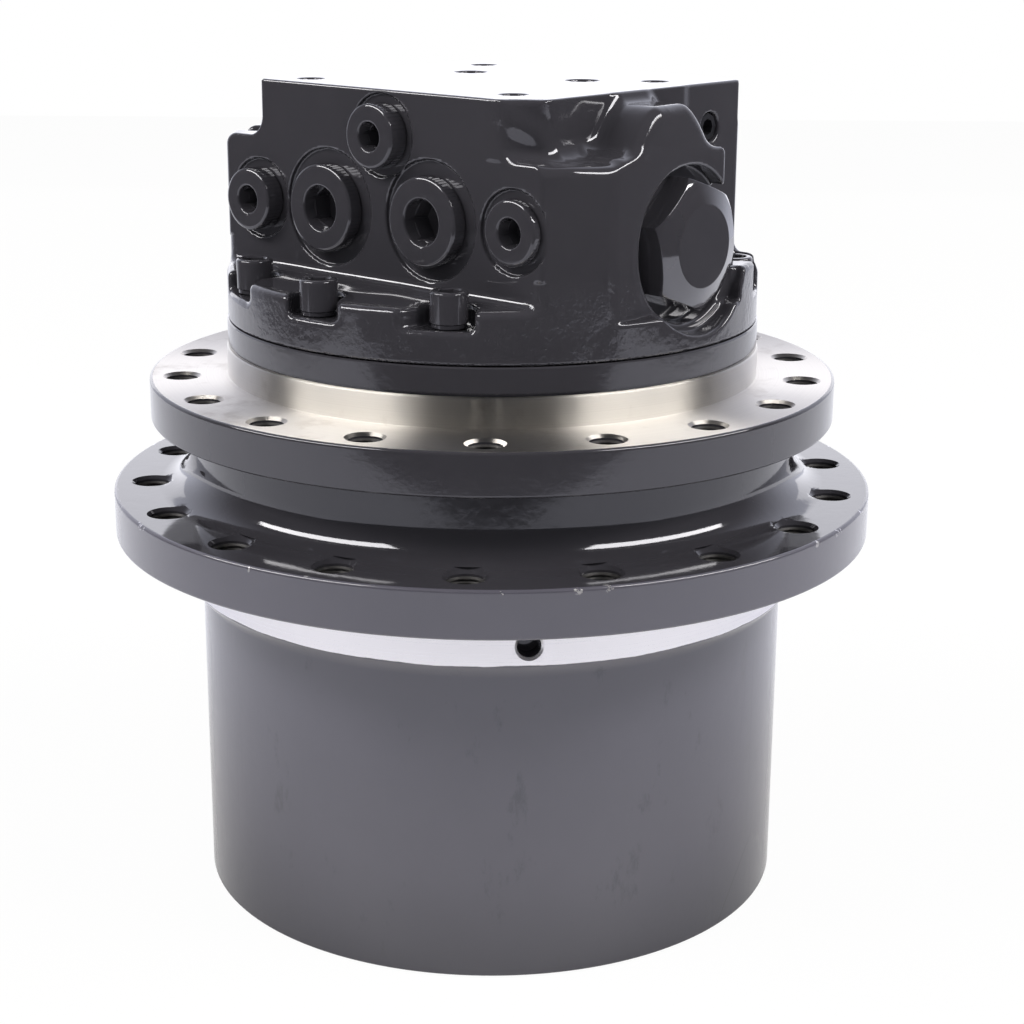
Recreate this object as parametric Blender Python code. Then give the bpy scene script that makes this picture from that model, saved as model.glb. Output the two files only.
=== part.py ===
"""Excavator final drive: a two-speed piston motor and a two-stage planetary reduction in one hub.

It stands on the open rim of the drum, with the drive's axis on Z and the plug face of the motor
housing on -Y. Lengths are metres and angles are degrees. The heights are stacked from the rim
upwards, and the radii are stacked from the ring gear outwards and inwards, so that a changed size
carries its neighbours with it.
"""

from math import acos, cos, pi, radians, sin, sqrt, tan

import bmesh
import bpy
from mathutils import Matrix, Vector

for old in list(bpy.data.objects):
    bpy.data.objects.remove(old)

# Fits between pieces
SEAT_GAP = 0.0003
END_FLOAT = 0.001
FACETS_LARGE = 36
FACETS_MEDIUM = 18
FACETS_HOLE = 10
FACETS_SMALL = 8

# Gear teeth, shared by both stages, which run in one ring gear
TOOTH_MODULE = 0.004
PRESSURE_ANGLE = radians(20)
ADDENDUM = 0.8
DEDENDUM = 1.0
FLANK_PLAY = 0.00016
SUN_1_TEETH = 12
PLANET_1_TEETH = 19
PLANET_2_TEETH = 16
PLANETS = 3
RING_TEETH = SUN_1_TEETH + 2 * PLANET_1_TEETH
SUN_2_TEETH = RING_TEETH - 2 * PLANET_2_TEETH
RING_PITCH_R = TOOTH_MODULE * RING_TEETH / 2
RING_TIP_R = RING_PITCH_R - ADDENDUM * TOOTH_MODULE
RING_ROOT_R = RING_PITCH_R + DEDENDUM * TOOTH_MODULE

# Heights of the inside, from the rim of the drum upwards
RIM_LIP = 0.004
SNAP_RING_T = 0.003
COVER_T = 0.012
COVER_TO_GEARS = 0.0044
STAGE_1_WIDTH = 0.022
CARRIER_1_T = 0.009
STAGE_GAP = 0.003
STAGE_2_WIDTH = 0.030
CARRIER_2_T = 0.0157
BEARING_WIDTH = 0.022
BEARING_SPREAD = 0.0126
SEAL_FLOOR_RISE = 0.003
SNAP_RING_Z = RIM_LIP + SEAT_GAP
COVER_Z = SNAP_RING_Z + SNAP_RING_T + SEAT_GAP
COVER_TOP_Z = COVER_Z + COVER_T
RING_GEAR_Z = COVER_TOP_Z + SEAT_GAP
STAGE_1_Z = COVER_TOP_Z + COVER_TO_GEARS
STAGE_1_TOP_Z = STAGE_1_Z + STAGE_1_WIDTH
CARRIER_1_Z = STAGE_1_TOP_Z + END_FLOAT
CARRIER_1_TOP_Z = CARRIER_1_Z + CARRIER_1_T
STAGE_2_Z = CARRIER_1_TOP_Z + STAGE_GAP
STAGE_2_TOP_Z = STAGE_2_Z + STAGE_2_WIDTH
CARRIER_2_Z = STAGE_2_TOP_Z + END_FLOAT
CARRIER_2_TOP_Z = CARRIER_2_Z + CARRIER_2_T
SPINDLE_END_Z = CARRIER_2_TOP_Z + SEAT_GAP
LOWER_BEARING_Z = SPINDLE_END_Z
UPPER_BEARING_Z = LOWER_BEARING_Z + BEARING_WIDTH + BEARING_SPREAD
SPINDLE_SHOULDER_Z = UPPER_BEARING_Z + BEARING_WIDTH + SEAT_GAP
SEAL_FLOOR_Z = SPINDLE_SHOULDER_Z + SEAL_FLOOR_RISE

# Heights of the outside
BAND_ABOVE_BEARING = 0.0133
BAND_CHAMFER_H = 0.006
BAND_H = 0.0202
SPROCKET_FLANGE_T = 0.0182
NECK_H = 0.0257
HUB_GAP = 0.0018
FRAME_FLANGE_T = 0.0164
PILOT_H = 0.0118
SPINDLE_RING_H = 0.0107
HOUSING_BASE_H = 0.0232
SHOULDER_H = 0.046
PORT_BLOCK_H = 0.0218
DRUM_TOP_Z = SPINDLE_END_Z + BAND_ABOVE_BEARING
BAND_Z = DRUM_TOP_Z + BAND_CHAMFER_H
SPROCKET_Z = BAND_Z + BAND_H
SPROCKET_TOP_Z = SPROCKET_Z + SPROCKET_FLANGE_T
HUB_TOP_Z = SPROCKET_TOP_Z + NECK_H
FRAME_FLANGE_Z = HUB_TOP_Z + HUB_GAP
FRAME_FACE_Z = FRAME_FLANGE_Z + FRAME_FLANGE_T
PILOT_TOP_Z = FRAME_FACE_Z + PILOT_H
SPINDLE_TOP_Z = PILOT_TOP_Z + SPINDLE_RING_H
HOUSING_Z = SPINDLE_TOP_Z + SEAT_GAP
BASE_TOP_Z = HOUSING_Z + HOUSING_BASE_H
SHOULDER_Z = BASE_TOP_Z + SHOULDER_H
PORT_FACE_Z = SHOULDER_Z + PORT_BLOCK_H

# Radii of the hub, from the ring gear outwards
DRUM_WALL = 0.01345
COVER_LEDGE = 0.002
BAND_STEP = 0.00475
SPROCKET_HOLE_INSET = 0.0141
SPROCKET_EDGE = 0.0147
SPROCKET_HOLES = 18
SPROCKET_HOLE_R = 0.0070
SPROCKET_TURN = 7.7
SEAL_STEP = 0.013
SKIRT_T = 0.003
SKIRT_GAP = 0.001
NECK_WALL = 0.009
NECK_FILLET = 0.0125
EDGE_CHAMFER = 0.0012
DRUM_R = RING_ROOT_R + DRUM_WALL
COVER_R = RING_ROOT_R + COVER_LEDGE
BAND_R = DRUM_R + BAND_STEP
SPROCKET_HOLE_PCR = BAND_R + SPROCKET_HOLE_INSET
SPROCKET_R = SPROCKET_HOLE_PCR + SPROCKET_EDGE
BEARING_INSET = 0.0018
BEARING_SECTION = 0.023
BEARING_OUTER_R = RING_TIP_R - BEARING_INSET
BEARING_INNER_R = BEARING_OUTER_R - BEARING_SECTION
SEAL_SEAT_R = BEARING_OUTER_R + SEAL_STEP
SKIRT_R = SEAL_SEAT_R + SKIRT_T
HUB_CAVITY_R = SKIRT_R + SKIRT_GAP
NECK_R = HUB_CAVITY_R + NECK_WALL

# Radii of the spindle and its frame flange
FRAME_PILOT_R = 0.105
FRAME_HOLE_INSET = 0.0178
FRAME_EDGE = 0.0126
FRAME_HOLES = 18
FRAME_HOLE_R = 0.0062
FRAME_TURN = 10.4
PAINT_STEP = 0.0005
SPINDLE_WALL = 0.014
SHOULDER_STEP = 0.012
FRAME_HOLE_PCR = FRAME_PILOT_R + FRAME_HOLE_INSET
FRAME_FLANGE_R = FRAME_HOLE_PCR + FRAME_EDGE
SPINDLE_RING_R = FRAME_PILOT_R - PAINT_STEP
SPINDLE_SEAT_R = BEARING_INNER_R - SEAT_GAP
SPINDLE_NECK_R = SPINDLE_SEAT_R + SHOULDER_STEP
MOTOR_BORE_R = SPINDLE_SEAT_R - SPINDLE_WALL

# Motor housing, a round casting with milled flats and a square port block on top
HOUSING_STEP = 0.0005
PLUG_FACE_Y = 0.066
REAR_FACE_Y = 0.060
BLOCK_LEFT_X = 0.060
BLOCK_RIGHT_X = 0.074
CAP_FLAT_X = 0.0948
CAP_FLAT_DROP = 0.010
LEDGE_DROP = 0.0041
CAP_FLAT_Y = 0.022
ROOT_FILLET = 0.008
TOP_ROUND = 0.0045
CORNER_CUT = 0.0115
HUMP_Y = -0.0085
HUMP_FLAT = 0.007
HUMP_SIDE = 0.0215
HUMP_H = 0.018
HOUSING_R = FRAME_PILOT_R - HOUSING_STEP - PAINT_STEP

# Cap screws that hold the housing to the spindle
SCREW_TURNS = (-121, -90, -57.8, 30, 66, 108, 150, 210)
FLUTE_TURNS = SCREW_TURNS[6:]
SCREW_INSET = 0.009
SCREW_R = 0.005
SCREW_HEAD_R = 0.007
SCREW_HEAD_H = 0.0134
WASHER_R = 0.0064
WASHER_T = 0.002
SCREW_HEAD_BEVEL = 0.0008
SCREW_KEY_AF = 0.008
SCREW_GRIP = 0.018
POCKET_R = 0.009
POCKET_REACH = 0.02
POCKET_DEPTH = 0.0114
POCKET_MOUTHS = {-121: (0.009, 0.045), -90: (0.0055, 0.031), -57.8: (0.029, 0.0135)}
SCREW_PCR = HOUSING_R - SCREW_INSET
LEDGE_Z = BASE_TOP_Z - LEDGE_DROP
POCKET_FLOOR_Z = BASE_TOP_Z - POCKET_DEPTH

# Valve across the housing: a sliding spool behind two hexagon caps
VALVE_RISE = 0.0134
CAP_AF = 0.044
CAP_DISC_R = 0.016
CAP_CHAMFER = 0.0030
CAP_HEAD_H = 0.0097
CAP_SHANK_R = 0.0165
CAP_SHANK_L = 0.014
CAP_TURN = 16
SPOT_DEPTH = 0.0063
SPOT_R = 0.0288
RELIEF_R = 0.032
SPOOL_R = 0.009
SPOOL_TRAVEL = 0.006
SPOOL_WAIST_R = 0.006
VALVE_Z = BASE_TOP_Z + VALVE_RISE
SPOT_X = CAP_FLAT_X - SPOT_DEPTH

# Plugs of the plug face: side place, height over the base, head radius, rise, spot radius, key
PLUG_SHANK_L = 0.012
PLUG_LEVEL = 0.0222
SMALL_PLUG = {"head": 0.0119, "spot": 0.0152, "key": 0.0085, "shank": 0.0065}
LARGE_PLUG = {"head": 0.0165, "spot": 0.0220, "key": 0.0140, "shank": 0.0105}
SMALL_RISE = 0.0068
LARGE_RISE = 0.0048
PLUG_1_X = -0.0618
PLUG_2_X = -0.0240
PLUG_3_X = 0.0040
PLUG_4_X = 0.0280
PLUG_5_X = 0.0677
PLUG_3_LIFT = 0.0288
PLUG_5_RISE = 0.0025
PLUG_SPOT_DEPTH = 0.0015
PLUG_BEVEL = 0.0008
PLUG_FACETS = 14

# Small plug on the right wall of the port block, and the open ports
GAUGE_Y = 0.0408
GAUGE_DROP = 0.0168
GAUGE_HEAD_R = 0.0052
GAUGE_SPOT_R = 0.0066
GAUGE_KEY_R = 0.0031
MAIN_PORT_R = 0.0105
MAIN_PORT_X = 0.028
MAIN_PORT_DEPTH = 0.016
DRAIN_PORT_R = 0.0078
PORT_MOUTH_R = 0.0155
PORT_MOUTH_DEPTH = 0.001
TOP_HOLE_DEPTH = 0.014
TOP_BOLT_R = 0.0044
TOP_BOLTS = ((-0.0467, -0.0521), (0.0519, -0.048), (-0.0442, 0.0439), (0.0548, 0.0304))
TOP_PORT_R = 0.0056
TOP_PORTS = ((-0.0241, 0.0137), (0.0324, 0.0143))

# Motor
WEB_T = 0.0210
WEB_BORE_R = 0.014
SHAFT_R = 0.010
SHAFT_NOSE_R = 0.008
SHAFT_BEARING_R = 0.020
SHAFT_BEARING_T = 0.011
SWASH_R = 0.046
SWASH_T = 0.013
SWASH_BORE_R = 0.018
SWASH_TILT = 10
SWASH_PIN_R = 0.006
SWASH_PIN_SEAT = 0.004
SWASH_CLEARANCE = 0.0012
BARREL_R = 0.045
BARREL_H = 0.048
PISTONS = 7
PISTON_R = 0.0065
PISTON_PCR = 0.030
PISTON_RUN = 0.0105
SHOE_PLATE_T = 0.0035
VALVE_PLATE_T = 0.005
MOTOR_FLOOR_Z = SPINDLE_END_Z + WEB_T
SWASH_HALF_H = SWASH_R * sin(radians(SWASH_TILT)) + SWASH_T / 2 * cos(radians(SWASH_TILT))
SWASH_Z = MOTOR_FLOOR_Z + SWASH_CLEARANCE + SWASH_HALF_H
SHOE_Z = SWASH_Z + SWASH_HALF_H + SWASH_CLEARANCE
VALVE_PLATE_TOP_Z = HOUSING_Z - SEAT_GAP
VALVE_PLATE_Z = VALVE_PLATE_TOP_Z - VALVE_PLATE_T
BARREL_TOP_Z = VALVE_PLATE_Z - SEAT_GAP
BARREL_Z = BARREL_TOP_Z - BARREL_H

# Planet pins, carriers and bearings
PIN_2_R = 0.013
PIN_1_R = 0.011
PIN_TAIL = 0.0012
CARRIER_2_R = BEARING_INNER_R + 0.010
CARRIER_SCREW_PCR = 0.050
CARRIER_SCREW_R = 0.0045
CARRIER_SCREW_HEAD_R = 0.0075
CARRIER_SCREW_HEAD_H = 0.008
SUN_2_BORE_R = 0.013
SUN_2_SPIGOT_R = 0.0205
CARRIER_1_RIM = 0.0125
RACE_T = 0.0062
RACE_LAND = 0.0043
BALL_GAP = 0.0005
BALL_OVERLAP = 0.0021
BALLS = 12
CAGE_T = 0.003
CAGE_HALF_W = 0.0035

# Covers and seals
COVER_PLUG_R = 0.010
COVER_PLUG_PCR = 0.062
COVER_PLUG_KEY = 0.010
COVER_PLUG_H = 0.009
SNAP_RING_IN = 0.006
SNAP_RING_OUT = 0.0022
SNAP_RING_SPLIT = 0.016
SEAL_FACE_H = 0.003
SEAL_RING_IN = 0.0075
TORIC_R = 0.004
BAND_HOLE_TURN = -42.6
BAND_HOLE_R = 0.0044
BAND_HOLE_DEPTH = 0.008
BAND_HOLE_RISE = 0.0075

ALONG_X = Matrix.Rotation(radians(90), 4, "Y")
ALONG_MINUS_X = Matrix.Rotation(radians(-90), 4, "Y")
ALONG_MINUS_Y = Matrix.Rotation(radians(90), 4, "X")
ALONG_Y = Matrix.Rotation(radians(-90), 4, "X")


def finish(name, colour, roughness, metallic):
    """A Principled material."""
    made = bpy.data.materials.new(name)
    made.use_nodes = True
    shader = made.node_tree.nodes["Principled BSDF"]
    shader.inputs["Base Color"].default_value = (*colour, 1)
    shader.inputs["Roughness"].default_value = roughness
    shader.inputs["Metallic"].default_value = metallic
    made.diffuse_color = (*colour, 1)
    return made


def place(name, mesh, material=None, at=(0, 0, 0), turned=None):
    """An object on a mesh. Without a material it is a cutter, which only the viewport shows."""
    piece = bpy.data.objects.new(name, mesh)
    bpy.context.scene.collection.objects.link(piece)
    piece.matrix_world = Matrix.Translation(at) @ (turned or Matrix())
    if material is None:
        piece.hide_render = True
        piece.display_type = "WIRE"
    elif not mesh.materials:
        mesh.materials.append(material)
    return piece


def closed(name, bm, soft=35):
    """A mesh with its faces pointing out, smooth up to an angle."""
    bmesh.ops.recalc_face_normals(bm, faces=bm.faces)
    mesh = bpy.data.meshes.new(name)
    bm.to_mesh(mesh)
    bm.free()
    mesh.shade_smooth()
    mesh.set_sharp_from_angle(angle=radians(soft))
    return mesh


def turning(name, outline, facets):
    """A closed outline of (radius, height) points turned round Z, with flat ends on the axis."""
    bm = bmesh.new()
    solid = outline[0][0] == 0
    turns = [2 * pi * k / facets for k in range(facets)]
    rings = []
    for radius, height in outline:
        if radius > 0:
            ring = [bm.verts.new((radius * cos(t), radius * sin(t), height)) for t in turns]
            rings.append(ring)
    if solid:
        bm.faces.new(rings[0])
        bm.faces.new(rings[-1])
    for lower, upper in zip(rings, rings[1:] if solid else rings[1:] + rings[:1]):
        for k in range(facets):
            after = (k + 1) % facets
            bm.faces.new((lower[k], lower[after], upper[after], upper[k]))
    return closed(name, bm)


def prism(name, outlines, low, high, soft=35):
    """Outlines in XY, the first outside and the rest holes in it, made solid from low to high."""
    bm = bmesh.new()
    edges = []
    for outline in outlines:
        ring = [bm.verts.new((x, y, low)) for x, y in outline]
        edges += [bm.edges.new(pair) for pair in zip(ring, ring[1:] + ring[:1])]
    faces = bmesh.ops.triangle_fill(bm, edges=edges, use_beauty=True)["geom"]
    faces = [part for part in faces if isinstance(part, bmesh.types.BMFace)]
    raised = bmesh.ops.extrude_face_region(bm, geom=faces)["geom"]
    top = [part for part in raised if isinstance(part, bmesh.types.BMVert)]
    bmesh.ops.translate(bm, verts=top, vec=(0, 0, high - low))
    return closed(name, bm, soft)


def joined(name, meshes):
    """One mesh of several that don't touch, for a cutter that makes a pattern."""
    bm = bmesh.new()
    for mesh, matrix in meshes:
        start = len(bm.verts)
        bm.from_mesh(mesh)
        bm.verts.ensure_lookup_table()
        bmesh.ops.transform(bm, matrix=matrix, verts=bm.verts[start:])
    return closed(name, bm)


def circle(radius, facets=FACETS_SMALL, centre=(0, 0), turn=0):
    """Points of a circle, starting at an angle in degrees."""
    turns = [radians(turn) + 2 * pi * k / facets for k in range(facets)]
    return [(centre[0] + radius * cos(t), centre[1] + radius * sin(t)) for t in turns]


def hexagon(across_flats, turn=0):
    return circle(across_flats / sqrt(3), 6, turn=turn)


def arc(centre, radius, start, end, steps):
    """Points of an arc between two angles in degrees."""
    turns = [radians(start + (end - start) * k / steps) for k in range(steps + 1)]
    return [(centre[0] + radius * cos(t), centre[1] + radius * sin(t)) for t in turns]


def around(radius, facets):
    """The radius of a bore's corners that leaves room for this radius at the middle of each side."""
    return radius / cos(pi / facets)


def drill(radius, low, high, facets=FACETS_SMALL):
    return turning("drill", [(0, low), (radius, low), (radius, high), (0, high)], facets)


def at_turn(radius, degrees, height=0):
    """The place at an angle round the axis, turned to face out from it."""
    return Matrix.Rotation(radians(degrees), 4, "Z") @ Matrix.Translation((radius, 0, height))


def ring_of(mesh, count, radius, turn, height=0):
    return [(mesh, at_turn(radius, turn + 360 * k / count, height)) for k in range(count)]


def cut(piece, cutter, operation="DIFFERENCE"):
    """A Boolean that stays on the piece."""
    step = piece.modifiers.new(cutter.name, "BOOLEAN")
    step.operation = operation
    step.object = cutter
    step.solver = "EXACT"


def settled(piece, soft=35):
    """Applies the modifiers, so that copies can share the mesh, and removes their cutters."""
    cutters = [step.object for step in piece.modifiers]
    graph = bpy.context.evaluated_depsgraph_get()
    mesh = bpy.data.meshes.new_from_object(piece.evaluated_get(graph))
    piece.modifiers.clear()
    piece.data = mesh
    mesh.shade_smooth()
    mesh.set_sharp_from_angle(angle=radians(soft))
    for cutter in cutters:
        bpy.data.objects.remove(cutter)
    return mesh


def involute(angle):
    return tan(angle) - angle


def tooth_half_angle(radius, teeth, play):
    """Half the angle that a tooth spans at a radius, below the base circle as at that circle."""
    pitch_r = TOOTH_MODULE * teeth / 2
    base_r = pitch_r * cos(PRESSURE_ANGLE)
    lean = involute(acos(min(1, base_r / max(radius, base_r))))
    return pi / (2 * teeth) + involute(PRESSURE_ANGLE) - lean - play / pitch_r


def gear_outline(teeth, radii, play, turn):
    """Teeth with a flank point at each radius, from the root up. One stands at the angle turn."""
    points = []
    for k in range(teeth):
        middle = turn + 2 * pi * k / teeth
        for side in (-1, 1):
            for radius in radii if side < 0 else reversed(radii):
                at = middle + side * tooth_half_angle(radius, teeth, play)
                points.append((radius * cos(at), radius * sin(at)))
    return points


def outside_gear(teeth, turn):
    pitch_r = TOOTH_MODULE * teeth / 2
    tip_r = pitch_r + ADDENDUM * TOOTH_MODULE
    root_r = pitch_r - DEDENDUM * TOOTH_MODULE
    return gear_outline(teeth, (root_r, pitch_r, tip_r), FLANK_PLAY, turn)


def planet_places(sun_teeth, planet_teeth):
    """The angle of each planet round the axis, and its own turn, that let it mesh with both."""
    step = 2 * pi / (RING_TEETH + sun_teeth)
    for k in range(PLANETS):
        place_at = round(k * (RING_TEETH + sun_teeth) / PLANETS) * step
        turn = place_at * (1 - RING_TEETH / planet_teeth) + pi / planet_teeth
        yield place_at, turn


def sun_turn(sun_teeth, planet_teeth):
    return pi * planet_teeth / sun_teeth


black = finish("gloss_black_paint", (0.012, 0.013, 0.016), 0.22, 0.0)
machined = finish("machined_steel", (0.52, 0.50, 0.46), 0.32, 1.0)
hardened = finish("hardened_steel", (0.38, 0.38, 0.39), 0.28, 1.0)
zinc = finish("dark_screw_steel", (0.03, 0.03, 0.035), 0.3, 0.6)
bronze = finish("bronze", (0.55, 0.33, 0.14), 0.35, 1.0)
rubber = finish("rubber", (0.02, 0.02, 0.02), 0.7, 0.0)

# Hub: drum, machined band, sprocket flange and neck in one turned casting
fillet = arc((NECK_R + NECK_FILLET, SPROCKET_TOP_Z + NECK_FILLET), NECK_FILLET, 270, 180, 3)
hub_outline = [
    (COVER_R, 0),
    (DRUM_R - EDGE_CHAMFER, 0),
    (DRUM_R, EDGE_CHAMFER),
    (DRUM_R, DRUM_TOP_Z),
    (BAND_R, BAND_Z),
    (BAND_R, SPROCKET_Z),
    (SPROCKET_R - EDGE_CHAMFER, SPROCKET_Z),
    (SPROCKET_R, SPROCKET_Z + EDGE_CHAMFER),
    (SPROCKET_R, SPROCKET_TOP_Z - EDGE_CHAMFER),
    (SPROCKET_R - EDGE_CHAMFER, SPROCKET_TOP_Z),
    *fillet,
    (NECK_R, HUB_TOP_Z),
    (HUB_CAVITY_R, HUB_TOP_Z),
    (HUB_CAVITY_R, SEAL_FLOOR_Z + (HUB_TOP_Z - SEAL_FLOOR_Z) / 2),
    (SEAL_SEAT_R, SEAL_FLOOR_Z + (HUB_TOP_Z - SEAL_FLOOR_Z) / 2),
    (SEAL_SEAT_R, SEAL_FLOOR_Z),
    (BEARING_OUTER_R, SEAL_FLOOR_Z),
    (BEARING_OUTER_R, UPPER_BEARING_Z - SEAT_GAP),
    (BEARING_OUTER_R - RACE_LAND, UPPER_BEARING_Z - SEAT_GAP),
    (BEARING_OUTER_R - RACE_LAND, LOWER_BEARING_Z + BEARING_WIDTH + SEAT_GAP),
    (BEARING_OUTER_R, LOWER_BEARING_Z + BEARING_WIDTH + SEAT_GAP),
    (BEARING_OUTER_R, SPINDLE_END_Z),
    (RING_ROOT_R + END_FLOAT, SPINDLE_END_Z),
    (RING_ROOT_R + END_FLOAT, STAGE_2_TOP_Z + END_FLOAT),
    (RING_TIP_R, STAGE_2_TOP_Z + END_FLOAT),
    (RING_TIP_R, RING_GEAR_Z),
    (COVER_R, RING_GEAR_Z),
    (COVER_R, SNAP_RING_Z + SNAP_RING_T + SEAT_GAP),
    (COVER_R + SNAP_RING_OUT + END_FLOAT, SNAP_RING_Z + SNAP_RING_T + SEAT_GAP),
    (COVER_R + SNAP_RING_OUT + END_FLOAT, RIM_LIP),
    (COVER_R, RIM_LIP),
]
hub = place("hub", turning("hub", hub_outline, FACETS_LARGE), black)
broach_low = RING_GEAR_Z - SEAT_GAP * 4
broach_high = STAGE_2_TOP_Z + END_FLOAT * 3
space_radii = (RING_TIP_R - END_FLOAT, RING_ROOT_R)
ring_spaces = gear_outline(RING_TEETH, space_radii, -2 * FLANK_PLAY, pi / RING_TEETH)
cut(hub, place("ring_gear_broach", prism("broach", [ring_spaces], broach_low, broach_high)))
sprocket_low = SPROCKET_Z - EDGE_CHAMFER
sprocket_drill = drill(SPROCKET_HOLE_R, sprocket_low, SPROCKET_TOP_Z + EDGE_CHAMFER, FACETS_HOLE)
sprocket_holes = ring_of(sprocket_drill, SPROCKET_HOLES, SPROCKET_HOLE_PCR, SPROCKET_TURN)
cut(hub, place("sprocket_drills", joined("sprocket_drills", sprocket_holes)))
band_drill = drill(BAND_HOLE_R, -BAND_HOLE_DEPTH, BAND_HOLE_DEPTH)
band_hole_at = at_turn(BAND_R, BAND_HOLE_TURN, BAND_Z + BAND_HOLE_RISE) @ ALONG_X
cut(hub, place("band_drill", joined("band_drill", [(band_drill, band_hole_at)])))

# End cover in the drum's mouth, with its snap ring and oil plugs
cover = place("end_cover", drill(COVER_R - SEAT_GAP, COVER_Z, COVER_TOP_Z, FACETS_LARGE), black)
cover_plug_bore = drill(COVER_PLUG_R + SEAT_GAP, COVER_Z - END_FLOAT, COVER_Z + COVER_PLUG_H)
cover_plug_turns = (25, 155)
bores = [(cover_plug_bore, at_turn(COVER_PLUG_PCR, turn)) for turn in cover_plug_turns]
cut(cover, place("cover_drills", joined("cover_drills", bores)))
split = SNAP_RING_SPLIT / COVER_R / 2
ring_steps = FACETS_MEDIUM
snap_outline = []
for radius, order in ((COVER_R + SNAP_RING_OUT, 1), (COVER_R - SNAP_RING_IN, -1)):
    turns = [split + (2 * pi - 2 * split) * k / ring_steps for k in range(ring_steps + 1)]
    snap_outline += [(radius * cos(t), radius * sin(t)) for t in turns[::order]]
snap_mesh = prism("snap_ring", [snap_outline], SNAP_RING_Z, SNAP_RING_Z + SNAP_RING_T)
place("snap_ring", snap_mesh, hardened)
for number, turn in enumerate(cover_plug_turns, 1):
    mesh = turning(
        "cover_plug",
        [
            (0, COVER_PLUG_H - SEAT_GAP),
            (0, COVER_PLUG_H / 2),
            (COVER_PLUG_KEY / 2, COVER_PLUG_H / 2),
            (COVER_PLUG_KEY / 2, 0),
            (COVER_PLUG_R, 0),
            (COVER_PLUG_R, COVER_PLUG_H - SEAT_GAP),
        ],
        FACETS_SMALL,
    )
    place(f"cover_plug_{number}", mesh, zinc, turned=at_turn(COVER_PLUG_PCR, turn, COVER_Z))

# Planet gears on their pins, in both stages
def planet_stage(stage, sun_teeth, planet_teeth, pin_r, low, high):
    centre_r = TOOTH_MODULE * (sun_teeth + planet_teeth) / 2
    for number, (place_at, turn) in enumerate(planet_places(sun_teeth, planet_teeth), 1):
        bore = circle(around(pin_r + SEAT_GAP, FACETS_SMALL))
        mesh = prism("planet", [outside_gear(planet_teeth, turn), bore], 0, high - low, 20)
        at = (centre_r * cos(place_at), centre_r * sin(place_at), low)
        place(f"planet_gear_{stage}_{number}", mesh, hardened, at)
    return centre_r


PIN_1_PCR = planet_stage(1, SUN_1_TEETH, PLANET_1_TEETH, PIN_1_R, STAGE_1_Z, STAGE_1_TOP_Z)
PIN_2_PCR = planet_stage(2, SUN_2_TEETH, PLANET_2_TEETH, PIN_2_R, STAGE_2_Z, STAGE_2_TOP_Z)

# First carrier: a plate with three posts, which turns the second sun gear
carrier_1 = place(
    "carrier_1",
    prism(
        "carrier_1",
        [
            circle(PIN_1_PCR + CARRIER_1_RIM, FACETS_MEDIUM),
            circle(SUN_2_SPIGOT_R + SEAT_GAP, FACETS_MEDIUM),
        ],
        CARRIER_1_Z,
        CARRIER_1_TOP_Z,
    ),
    machined,
)
post = drill(PIN_1_R, STAGE_1_Z - PIN_TAIL, CARRIER_1_Z + CARRIER_1_T / 2)
posts = []
for place_at, turn in planet_places(SUN_1_TEETH, PLANET_1_TEETH):
    at = Vector((PIN_1_PCR * cos(place_at), PIN_1_PCR * sin(place_at), 0))
    posts.append((post, Matrix.Translation(at)))
cut(carrier_1, place("carrier_posts", joined("carrier_posts", posts)), "UNION")

# Sun gears: the second is splined into the first carrier, the first onto the motor shaft
sun_2_outline = outside_gear(SUN_2_TEETH, sun_turn(SUN_2_TEETH, PLANET_2_TEETH))
sun_2 = place(
    "sun_gear_2",
    prism(
        "sun_gear_2",
        [sun_2_outline, circle(SUN_2_BORE_R, FACETS_SMALL)],
        CARRIER_1_TOP_Z + SEAT_GAP,
        STAGE_2_TOP_Z,
        20,
    ),
    hardened,
)
spigot_rings = [circle(SUN_2_SPIGOT_R, FACETS_MEDIUM), circle(SUN_2_BORE_R, FACETS_SMALL)]
spigot = prism("spigot", spigot_rings, CARRIER_1_Z, STAGE_2_Z)
cut(sun_2, place("sun_2_spigot", spigot), "UNION")
sun_1_outline = outside_gear(SUN_1_TEETH, sun_turn(SUN_1_TEETH, PLANET_1_TEETH))
sun_1_rings = [sun_1_outline, circle(around(SHAFT_NOSE_R + SEAT_GAP, FACETS_SMALL))]
sun_1_mesh = prism("sun_gear_1", sun_1_rings, STAGE_1_Z, STAGE_1_TOP_Z, 20)
place("sun_gear_1", sun_1_mesh, hardened)

# Fixed carrier on the spindle's end, with the pins of the second stage
carrier_2 = place(
    "carrier_2", drill(CARRIER_2_R, CARRIER_2_Z, CARRIER_2_TOP_Z, FACETS_MEDIUM), machined
)
pin_bore = drill(PIN_2_R + SEAT_GAP, CARRIER_2_Z - END_FLOAT, CARRIER_2_TOP_Z + END_FLOAT)
screw_bore = turning(
    "screw_bore",
    [
        (0, CARRIER_2_Z - END_FLOAT),
        (CARRIER_SCREW_HEAD_R + SEAT_GAP, CARRIER_2_Z - END_FLOAT),
        (CARRIER_SCREW_HEAD_R + SEAT_GAP, CARRIER_2_Z + CARRIER_SCREW_HEAD_H),
        (CARRIER_SCREW_R + SEAT_GAP, CARRIER_2_Z + CARRIER_SCREW_HEAD_H),
        (CARRIER_SCREW_R + SEAT_GAP, CARRIER_2_TOP_Z + END_FLOAT),
        (0, CARRIER_2_TOP_Z + END_FLOAT),
    ],
    FACETS_SMALL,
)
pin_turns = [place_at for place_at, turn in planet_places(SUN_2_TEETH, PLANET_2_TEETH)]
screw_turns = [turn + pi / PLANETS for turn in pin_turns]
bores = [(drill(WEB_BORE_R, CARRIER_2_Z - END_FLOAT, CARRIER_2_TOP_Z + END_FLOAT), Matrix())]
for turn in pin_turns:
    bores.append((pin_bore, at_turn(PIN_2_PCR, turn * 180 / pi)))
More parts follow.
